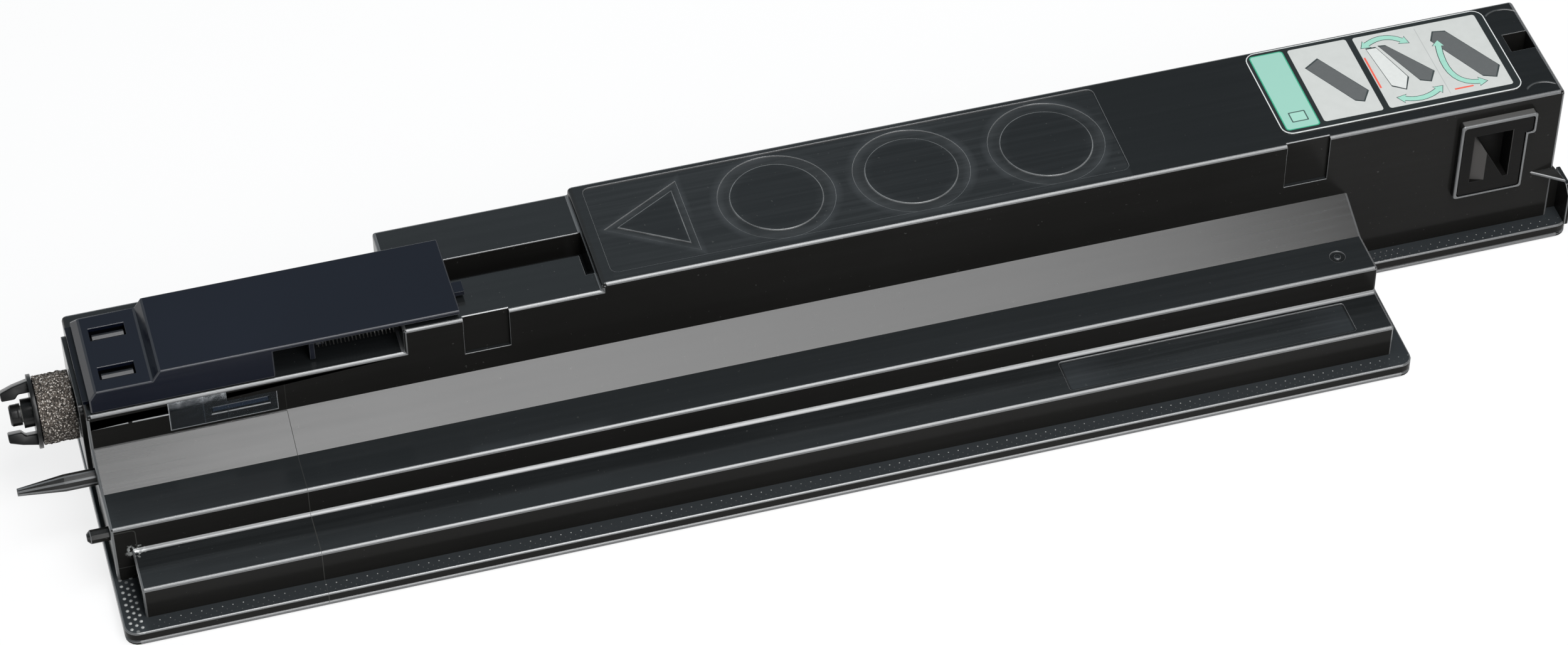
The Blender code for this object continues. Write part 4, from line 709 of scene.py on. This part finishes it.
def face_size(face):
    """Longest edge of a face, and its width across that edge."""
    longest = max(edge.calc_length() for edge in face.edges)
    return longest, face.calc_area() / longest


# Rounded edges and their normals
HARD_ANGLE = math.radians(34.0)
BEVEL_ANGLE = math.radians(40.0)
BENT_ANGLE = math.radians(4.0)
BROAD_FACE = 1.3 * MM
LONG_EDGE = 9 * MM
NARROW_ROUNDING = 0.34 * MM
WIDE_ROUNDING = 0.70 * MM
# Shares of the painted edge highlight on narrow and on wider roundings
NARROW_EDGE_HIGHLIGHT = 0.45
WIDE_EDGE_HIGHLIGHT = 0.42
FOOT_LINE = 16.3 * MM
FOOT_LENGTH = 270 * MM
LEAN = 0.8


def fan_faces(loop, hard):
    """Faces round a corner that its soft edges reach."""
    found = [loop.face]
    for face in found:
        for edge in face.edges:
            if loop.vert in edge.verts and edge not in hard:
                found += [other for other in edge.link_faces if other not in found]
    return found


def corner_normal(loop, broad, hard):
    """Exact normal on a broad face; on a rounding it leans from the broad face beside it."""
    face = loop.face
    if face in broad:
        return face.normal.copy()
    fan = fan_faces(loop, hard)
    beside = [other for other in fan if other in broad]
    if beside:
        nearest = max(beside, key=lambda other: other.normal.dot(face.normal))
        return (nearest.normal * (1.0 - LEAN) + face.normal * LEAN).normalized()
    total = Vector((0.0, 0.0, 0.0))
    for other in fan:
        total += other.normal * other.calc_area()
    return total.normalized() if total.length > 1e-12 else face.normal.copy()


def mark_roundings(work, hard):
    """Note the narrow faces of edge roundings, where the material paints a highlight."""
    layer = work.faces.layers.float.new("painted_edge_highlight")
    for face in work.faces:
        longest, width = face_size(face)
        if width > WIDE_ROUNDING or (width > NARROW_ROUNDING and longest < LONG_EDGE):
            continue
        if any(edge not in hard and edge.calc_face_angle(0.0) > BENT_ANGLE for edge in face.edges):
            face[layer] = NARROW_EDGE_HIGHLIGHT if width < NARROW_ROUNDING else WIDE_EDGE_HIGHLIGHT


def shade(mesh):
    """Give flat faces exact flat normals, and roundings a smooth turn between them."""
    work = bmesh.new()
    work.from_mesh(mesh)
    for layer in list(work.loops.layers.float_vector):
        work.loops.layers.float_vector.remove(layer)
    hard = {
        edge for edge in work.edges
        if len(edge.link_faces) != 2 or edge.calc_face_angle(0.0) > HARD_ANGLE
    }
    for edge in work.edges:
        edge.smooth = edge not in hard
    mark_roundings(work, hard)
    broad = {face for face in work.faces if face_size(face)[1] > BROAD_FACE}
    normals = []
    for face in work.faces:
        face.smooth = True
        normals += [tuple(corner_normal(loop, broad, hard)) for loop in face.loops]
    work.to_mesh(mesh)
    work.free()
    mesh.normals_split_custom_set(normals)


def weigh_edges(mesh, minor):
    """Full rounding for long edges between broad faces, less for the other sharp edges."""
    work = bmesh.new()
    work.from_mesh(mesh)
    layer = work.edges.layers.float.new("bevel_weight_edge")
    broad = {face for face in work.faces if face_size(face)[1] > BROAD_FACE}
    for edge in work.edges:
        if len(edge.link_faces) != 2 or edge.calc_face_angle(0.0) < BEVEL_ANGLE:
            continue
        length = edge.calc_length()
        foot = all(abs(vert.co.z - FOOT_LINE) < 0.1 * MM for vert in edge.verts)
        if not edge.is_convex and not (foot and length > FOOT_LENGTH):
            continue
        full = length > LONG_EDGE and all(face in broad for face in edge.link_faces)
        edge[layer] = 1.0 if full else minor
    work.to_mesh(mesh)
    work.free()


# Carved relief of the shell
PANEL_FLOOR = 56.3 * MM
TERRACE_TOP = 26.25 * MM
GROOVE_DEPTH = 0.3 * MM
PIP_GROOVE_DEPTH = 1.3 * GROOVE_DEPTH
CUTTER_RISE = 3 * MM
RING_POINTS = 96
PIP_RING = (2.3, 1.1)
PIP_RING_POINTS = 24


def inset(corners, amount):
    """Triangle moved inwards by an amount on every side."""
    points = [Vector(corner) for corner in corners]
    sides = [(points[(index + 2) % 3] - points[(index + 1) % 3]).length for index in range(3)]
    perimeter = sum(sides)
    middle = sum((point * side for point, side in zip(points, sides)), Vector((0, 0))) / perimeter
    one, two = points[1] - points[0], points[2] - points[0]
    reach = abs(one.x * two.y - one.y * two.x) / perimeter
    return [tuple(middle + (point - middle) * (1 - amount / reach)) for point in points]


def frame_prism(work, outer, inner, low, high):
    """Closed upright frame between two outlines with as many points each."""
    rings = []
    for outline, level in ((outer, low), (inner, low), (inner, high), (outer, high)):
        rings.append([work.verts.new((x * MM, y * MM, level)) for x, y in outline])
    for here, after in zip(rings, rings[1:] + rings[:1]):
        for index in range(len(outer)):
            follow = (index + 1) % len(outer)
            work.faces.new((here[index], here[follow], after[follow], after[index]))


def relief_cutter():
    """Grooves of the top panel and the ring round the gate pip."""
    work = bmesh.new()
    low, high = PANEL_FLOOR - GROOVE_DEPTH, PANEL_FLOOR + CUTTER_RISE
    for centre in RING_CENTRES:
        outer = circle(centre, RING_MIDDLE + GROOVE_HALF, RING_POINTS)
        inner = circle(centre, RING_MIDDLE - GROOVE_HALF, RING_POINTS)
        frame_prism(work, outer, inner, low, high)
    frame_prism(work, TRIANGLE, inset(TRIANGLE, TRIANGLE_BAND), low, high)
    outer, inner = (circle(GATE_PIP, radius, PIP_RING_POINTS) for radius in PIP_RING)
    frame_prism(work, outer, inner, TERRACE_TOP - PIP_GROOVE_DEPTH, TERRACE_TOP + CUTTER_RISE)
    bmesh.ops.recalc_face_normals(work, faces=work.faces)
    return mesh_object("relief_cutter", work)


def bake_modifiers(obj):
    """Replace the mesh by its evaluated self."""
    bpy.context.view_layer.update()
    before = obj.data
    evaluated = obj.evaluated_get(bpy.context.evaluated_depsgraph_get())
    after = bpy.data.meshes.new_from_object(evaluated)
    obj.modifiers.clear()
    obj.data = after
    name = before.name
    bpy.data.meshes.remove(before)
    after.name = name


def carve(obj, cutter):
    """Cut the grooves for good and remove the cutter."""
    cut = obj.modifiers.new("relief", "BOOLEAN")
    cut.operation = "DIFFERENCE"
    cut.solver = "EXACT"
    cut.object = cutter
    bake_modifiers(obj)
    spent = cutter.data
    bpy.data.objects.remove(cutter)
    bpy.data.meshes.remove(spent)


# Dressed pieces
MERGE_DISTANCE = 0.002 * MM
FLAT_ANGLE = math.radians(0.6)
MINOR_BEVEL = 0.45
BEVEL_SEGMENTS = 2


def dress(node, name, body, material, bevel=0.0, flats=True, cutter=None):
    """Copy a CAD node's own shape, round its hard edges and stand in for it."""
    work = bmesh.new()
    work.from_mesh(nodes[node].data)
    bmesh.ops.remove_doubles(work, verts=work.verts, dist=MERGE_DISTANCE)
    bmesh.ops.dissolve_limit(work, angle_limit=FLAT_ANGLE, verts=work.verts, edges=work.edges)
    obj = mesh_object(name, work)
    if cutter:
        carve(obj, cutter)
    if bevel:
        weigh_edges(obj.data, MINOR_BEVEL)
        edge = obj.modifiers.new("edge", "BEVEL")
        edge.width = bevel
        edge.segments = BEVEL_SEGMENTS
        edge.limit_method = "WEIGHT"
        edge.use_clamp_overlap = False
        bake_modifiers(obj)
    obj.data.materials.clear()
    obj.data.materials.append(material)
    if flats:
        shade(obj.data)
    else:
        obj.data.shade_smooth()
        obj.data.set_sharp_from_angle(angle=HARD_ANGLE)
    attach(obj, body)
    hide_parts(node)


def paint(node, material):
    """Give a CAD node that shows as it is a material."""
    nodes[node].data.materials.clear()
    nodes[node].data.materials.append(material)


dress(
    "shell", "shell_moulding", "container", shell_plastic,
    bevel=0.34 * MM, cutter=relief_cutter(),
)
dress("base_cover", "base_moulding", "container", shell_plastic, bevel=0.25 * MM)
dress(
    "inlet_shutter", "shutter_moulding", "shutter", shutter_plastic,
    bevel=0.22 * MM,
)
dress(
    "seal_carrier", "carrier_moulding", "shutter", carrier_plastic,
    bevel=0.10 * MM,
)
dress(
    "drive_coupling", "coupling_moulding", "drive", coupling_plastic,
    bevel=0.10 * MM, flats=False,
)
dress(
    "coupling_retainer", "retainer_button", "drive", coupling_plastic,
    bevel=0.10 * MM, flats=False,
)
dress("port_plug", "plug_moulding", "container", plug_plastic, bevel=0.18 * MM)
dress("lock_tab", "lock_bar", "container", lock_plastic)
for node, material in (
    ("inlet_gasket", gasket_sponge),
    ("shutter_tape", clear_tape),
    ("drive_bush", bush_plastic),
    ("shaft_seal", felt),
    ("tail_bush", bush_plastic),
    ("port_gasket", felt),
    ("instruction_label", label_film),
    ("conveyor", screw_plastic),
):
    paint(node, material)


def coil_spring():
    """The return spring, copied from the CAD node in spring steel."""
    mesh = nodes["shutter_spring"].data.copy()
    mesh.name = "return_spring"
    mesh.materials.clear()
    mesh.materials.append(spring_steel)
    mesh.shade_smooth()
    coil = link(bpy.data.objects.new("return_spring", mesh))
    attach(coil, "container")
    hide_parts("shutter_spring")
    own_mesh(coil)


coil_spring()


# Printed shapes of the label: places in mm on the container's top
LABEL_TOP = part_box("instruction_label")[1].z
PRINT_SINK = 0.02 * MM
BARS = (
    ((153.3, 33.2), (158.2, 36.3), (167.6, 19.4), (164.9, 15.2), (162.4, 16.4)),
    ((177.9, 36.6), (180.2, 36.2), (189.8, 22.1), (187.4, 18.0), (184.4, 19.5)),
    ((196.1, 38.1), (199.9, 37.3), (209.7, 19.1), (207.1, 14.5), (203.3, 16.1), (194.2, 34.3)),
)
BOXES = (((173.8, 36.3), (176.9, 36.2), (181.4, 21.7), (179.0, 16.7), (175.4, 19.3)),)
ARROWS = (
    ((174.6, 38.4), (181.0, 42.0), (185.6, 37.4)),
    ((177.2, 12.7), (182.6, 10.2), (188.0, 13.6)),
    ((201.4, 13.6), (191.2, 15.0), (195.4, 32.0)),
)
ACCENTS = (((171.9, 33.0), (171.9, 19.0)), ((193.0, 12.4), (199.0, 12.4)))
SHAPE_BORDER = 0.55
ARROW_BORDER = 0.22
ARROW_WIDTH = 1.7
ARROW_HEAD = 1.7
ARROW_STEPS = 9
HEAD_LENGTH = 1.4
HEAD_BORDER = 1.6
ACCENT_WIDTH = 0.6


def prism(work, outline, low, high):
    """Flat closed block under an outline given in mm."""
    bottom = [work.verts.new((x * MM, y * MM, low)) for x, y in outline]
    top = [work.verts.new((x * MM, y * MM, high)) for x, y in outline]
    work.faces.new(top)
    work.faces.new(list(reversed(bottom)))
    for index in range(len(outline)):
        after = (index + 1) % len(outline)
        work.faces.new((bottom[index], bottom[after], top[after], top[index]))


def swell(outline, amount):
    """Outline pushed outwards from its middle."""
    middle = sum((Vector(point) for point in outline), Vector((0, 0))) / len(outline)
    result = []
    for point in outline:
        away = Vector(point) - middle
        result.append(tuple(middle + away * (1.0 + amount / away.length)))
    return result


def stroke(one, two, width):
    """Outline of a straight line."""
    one, two = Vector(one), Vector(two)
    along = (two - one).normalized()
    side = Vector((-along.y, along.x)) * width / 2
    return [tuple(one - side), tuple(two - side), tuple(two + side), tuple(one + side)]


def arrow(start, pull, end, border=0.0):
    """Outline of a bent arrow with a head at both ends, widened by a border."""
    start, pull, end = Vector(start), Vector(pull), Vector(end)
    spots = []
    for index in range(ARROW_STEPS + 1):
        share = index / ARROW_STEPS
        spot = start * (1 - share) ** 2 + pull * 2 * share * (1 - share) + end * share ** 2
        along = ((pull - start) * (1 - share) + (end - pull) * share).normalized()
        spots.append((spot, along, Vector((-along.y, along.x))))
    half = ARROW_WIDTH / 2 + border
    flank = ARROW_HEAD + border * HEAD_BORDER
    point = ARROW_HEAD * HEAD_LENGTH + border * HEAD_BORDER
    (tail, tail_along, tail_side), (nose, nose_along, nose_side) = spots[0], spots[-1]
    outline = [tail - tail_along * point, tail - tail_side * flank + tail_along * border]
    outline += [spot - side * half for spot, _, side in spots]
    outline.append(nose - nose_side * flank - nose_along * border)
    outline.append(nose + nose_along * point)
    outline.append(nose + nose_side * flank - nose_along * border)
    outline += [spot + side * half for spot, _, side in reversed(spots)]
    outline.append(tail + tail_side * flank + tail_along * border)
    return [tuple(corner) for corner in outline]


def print_piece(name, outlines, level, material):
    """Thin raised ink on the label, its level in mm."""
    work = bmesh.new()
    for outline in outlines:
        prism(work, outline, LABEL_TOP - PRINT_SINK, LABEL_TOP + level * MM)
    bmesh.ops.recalc_face_normals(work, faces=work.faces)
    obj = mesh_object(name, work)
    obj.data.materials.append(material)
    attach(obj, "container")


bordered = [swell(shape, SHAPE_BORDER) for shape in BARS + BOXES]
print_piece("label_outlines", bordered, 0.010, ink_dark)
print_piece("label_arrow_outlines", [arrow(*line, ARROW_BORDER) for line in ARROWS], 0.012, ink_dark)
print_piece("label_bars", BARS, 0.020, ink_grey)
print_piece("label_box", BOXES, 0.020, ink_white)
print_piece("label_arrows", [arrow(*line) for line in ARROWS], 0.024, ink_mint)
print_piece("label_accents", [stroke(*line, ACCENT_WIDTH) for line in ACCENTS], 0.014, ink_red)


# Weld pips
FLANGE_TOP = 4.9 * MM
PIP_SINK = 0.03 * MM
PIP_SIDES = 6


def cone(work, centre, radius, height):
    """Closed cone that stands a little way in the flange's top."""
    bottom = FLANGE_TOP - PIP_SINK
    foot = [work.verts.new((x * MM, y * MM, bottom)) for x, y in circle(centre, radius, PIP_SIDES)]
    tip = work.verts.new((centre[0] * MM, centre[1] * MM, FLANGE_TOP + height))
    work.faces.new(list(reversed(foot)))
    for index in range(PIP_SIDES):
        work.faces.new((foot[index], foot[(index + 1) % PIP_SIDES], tip))


def weld_pips():
    """Small cones that the welding tool leaves in rows along the top of the flange."""
    work = bmesh.new()
    for rows in (FRONT_ROW, SMALL_ROWS, LEFT_ROWS, RIGHT_ROWS, DENSE_ROWS, OUTER_ROW):
        for place, offset in rows.places:
            first = math.ceil((rows.span[0] + offset) / rows.pitch)
            last = math.floor((rows.span[1] + offset) / rows.pitch)
            for count in range(first, last + 1):
                along = count * rows.pitch - offset
                centre = (along, place) if rows.axis == "X" else (place, along)
                cone(work, centre, rows.radius, rows.height * MM)
    obj = mesh_object("weld_pips", work)
    obj.data.materials.append(shell_plastic)
    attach(obj, "container")


weld_pips()


# Sponge sleeve of the coupling
FOAM_LOW, FOAM_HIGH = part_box("coupling_foam")
FOAM_LEFT, FOAM_RIGHT = FOAM_LOW.x, FOAM_HIGH.x
FOAM_AXIS = ((FOAM_LOW.y + FOAM_HIGH.y) / 2, (FOAM_LOW.z + FOAM_HIGH.z) / 2)
FOAM_RADIUS = (FOAM_HIGH.z - FOAM_LOW.z) / 2
FOAM_BORE = 5.0 * MM
FOAM_SKIN = 0.45 * MM
FOAM_AROUND = 220
FOAM_ALONG = 44
FOAM_DOWN = 10
PORE_FIELDS = ((900.0, 0.30), (2100.0, 0.22))
PORE_GAIN = 1.6
PORE_LOW, PORE_HIGH = -0.5, 0.42
END_PORES = 0.6


def foam_profile():
    """Places along the sleeve's skin and both end faces: x and share of the radius."""
    length = FOAM_RIGHT - FOAM_LEFT
    profile = [(FOAM_LEFT + length * index / FOAM_ALONG, 1.0) for index in range(FOAM_ALONG + 1)]
    profile += [(FOAM_RIGHT, 1.0 - index / FOAM_DOWN) for index in range(1, FOAM_DOWN + 1)]
    profile += [(FOAM_LEFT, index / FOAM_DOWN) for index in range(FOAM_DOWN)]
    return profile


def foam_point(x, share, turn):
    """Point of the torn skin; the pores go inwards on the ends and both ways on the skin."""
    reach = FOAM_BORE + (FOAM_RADIUS - FOAM_SKIN - FOAM_BORE) * share
    spot = Vector((x, reach * math.cos(turn), reach * math.sin(turn)))
    rough = sum(noise_field.noise(spot * scale) * part for scale, part in PORE_FIELDS)
    depth = max(PORE_LOW, min(PORE_HIGH, rough * PORE_GAIN)) * MM
    if share == 1.0:
        reach += depth
    elif share > 0.0:
        inward = 1.0 if x == FOAM_LEFT else -1.0
        x += inward * abs(depth) * END_PORES
    return x, FOAM_AXIS[0] + reach * math.cos(turn), FOAM_AXIS[1] + reach * math.sin(turn)


def foam_ring():
    """Ring of open sponge with a torn, uneven skin."""
    profile = foam_profile()
    work = bmesh.new()
    rings = []
    for step in range(FOAM_AROUND):
        turn = 2 * math.pi * step / FOAM_AROUND
        rings.append([work.verts.new(foam_point(x, share, turn)) for x, share in profile])
    for here, after in zip(rings, rings[1:] + rings[:1]):
        for index in range(len(profile)):
            follow = (index + 1) % len(profile)
            work.faces.new((here[index], here[follow], after[follow], after[index]))
    bmesh.ops.recalc_face_normals(work, faces=work.faces)
    obj = mesh_object("foam_ring", work)
    obj.data.shade_smooth()
    obj.data.materials.append(foam)
    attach(obj, "container")
    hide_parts("coupling_foam")


foam_ring()


# Camera: fitted to the photograph's edges, in degrees, pixels and metres
CAMERA_AZIMUTH = -15.810
CAMERA_ELEVATION = 45.458
CAMERA_ROLL = -0.174
CAMERA_PLACE = (-0.27638, -0.90485, 0.98477)
FOCAL_PIXELS = 7272.8
PHOTO_WIDTH = 2500
SENSOR_WIDTH = 36.0


def aim_camera():
    """Camera in the place that the photograph was taken from."""
    azimuth = math.radians(CAMERA_AZIMUTH)
    elevation = math.radians(CAMERA_ELEVATION)
    roll = math.radians(CAMERA_ROLL)
    back = Vector((
        math.sin(azimuth) * math.cos(elevation),
        -math.cos(azimuth) * math.cos(elevation),
        math.sin(elevation),
    ))
    across = Vector((math.cos(azimuth), math.sin(azimuth), 0.0))
    upward = back.cross(across)
    right = math.cos(roll) * across + math.sin(roll) * upward
    up = -math.sin(roll) * across + math.cos(roll) * upward
    data = bpy.data.cameras.new("camera")
    data.sensor_fit = "HORIZONTAL"
    data.sensor_width = SENSOR_WIDTH
    data.lens = FOCAL_PIXELS / PHOTO_WIDTH * SENSOR_WIDTH
    data.clip_start = 0.05
    data.clip_end = 20.0
    camera = link(bpy.data.objects.new("camera", data))
    turned = Matrix((right, up, back)).transposed().to_4x4()
    camera.matrix_world = Matrix.Translation(CAMERA_PLACE) @ turned
    bpy.context.scene.camera = camera


# Stage and light
FLOOR_HALF = 8.0
FLOOR_DROP = 0.2 * MM
FLOOR_GLOW = 0.8
LIGHT_TARGET = (0.0, 0.0, 0.03)


def make_stage():
    """White floor that looks evenly lit to the camera and in reflections."""
    corners = [(x * FLOOR_HALF, y * FLOOR_HALF, 0) for x, y in ((-1, -1), (1, -1), (1, 1), (-1, 1))]
    mesh = bpy.data.meshes.new("floor")
    mesh.from_pydata(corners, [], [(0, 1, 2, 3)])
    floor = link(bpy.data.objects.new("floor", mesh))
    floor.location.z = -FLOOR_DROP
    material, tree, shader = new_material("floor_white")
    shader.inputs["Base Color"].default_value = (0.94, 0.94, 0.94, 1)
    shader.inputs["Roughness"].default_value = 0.9
    paths = tree.nodes.new("ShaderNodeLightPath").outputs
    seen = union(tree, [paths[f"Is {kind} Ray"] for kind in ("Camera", "Transmission", "Glossy")])
    glow = add(tree, "ShaderNodeEmission", Color=(1, 1, 1, 1), Strength=1.0)
    blend = tree.nodes.new("ShaderNodeMixShader")
    tree.links.new(times(tree, seen, FLOOR_GLOW), blend.inputs["Fac"])
    tree.links.new(shader.outputs[0], blend.inputs[1])
    tree.links.new(glow.outputs[0], blend.inputs[2])
    tree.links.new(blend.outputs[0], tree.nodes["Material Output"].inputs["Surface"])
    mesh.materials.append(material)


def softbox(name, centre, size, radiance, across=(1.0, 1.0)):
    """Rectangular lamp with a radiance that may change from side to side."""
    data = bpy.data.lights.new(name, "AREA")
    data.shape = "RECTANGLE"
    data.size, data.size_y = size
    data.energy = radiance * math.pi * size[0] * size[1]
    data.use_nodes = True
    tree = data.node_tree
    place = tree.nodes.new("ShaderNodeNewGeometry")
    sideways = split(tree, place.outputs["Parametric"])[0]
    strength = ramp(tree, sideways, 0.0, 1.0, *across)
    tree.links.new(strength, tree.nodes["Emission"].inputs["Strength"])
    lamp = link(bpy.data.objects.new(name, data))
    lamp.location = centre
    direction = Vector(LIGHT_TARGET) - Vector(centre)
    lamp.rotation_mode = "QUATERNION"
    lamp.rotation_quaternion = direction.to_track_quat("-Z", "Y")


def make_world():
    """Dim in front and brighter behind, less so towards the right."""
    world = bpy.data.worlds.new("studio")
    bpy.context.scene.world = world
    world.use_nodes = True
    tree = world.node_tree
    x, y, _ = split(tree, coordinates(tree, "Generated"))
    behind = ramp(tree, y, 0.0, 0.6, 0.16, 0.50)
    behind = times(tree, behind, ramp(tree, x, 0.14, 0.34, 1.0, 0.5))
    glow = tree.nodes["Background"]
    glow.inputs["Color"].default_value = (0.80, 0.92, 1.0, 1)
    tree.links.new(behind, glow.inputs["Strength"])


aim_camera()
make_stage()
make_world()
softbox("key", centre=(0.19, -0.345, 1.23), size=(0.80, 0.81), radiance=6.2, across=(1.5, 0.8))
softbox("low_front", centre=(0.20, -1.03, 0.74), size=(0.80, 0.80), radiance=4.4)

bpy.context.scene.view_settings.view_transform = "Standard"
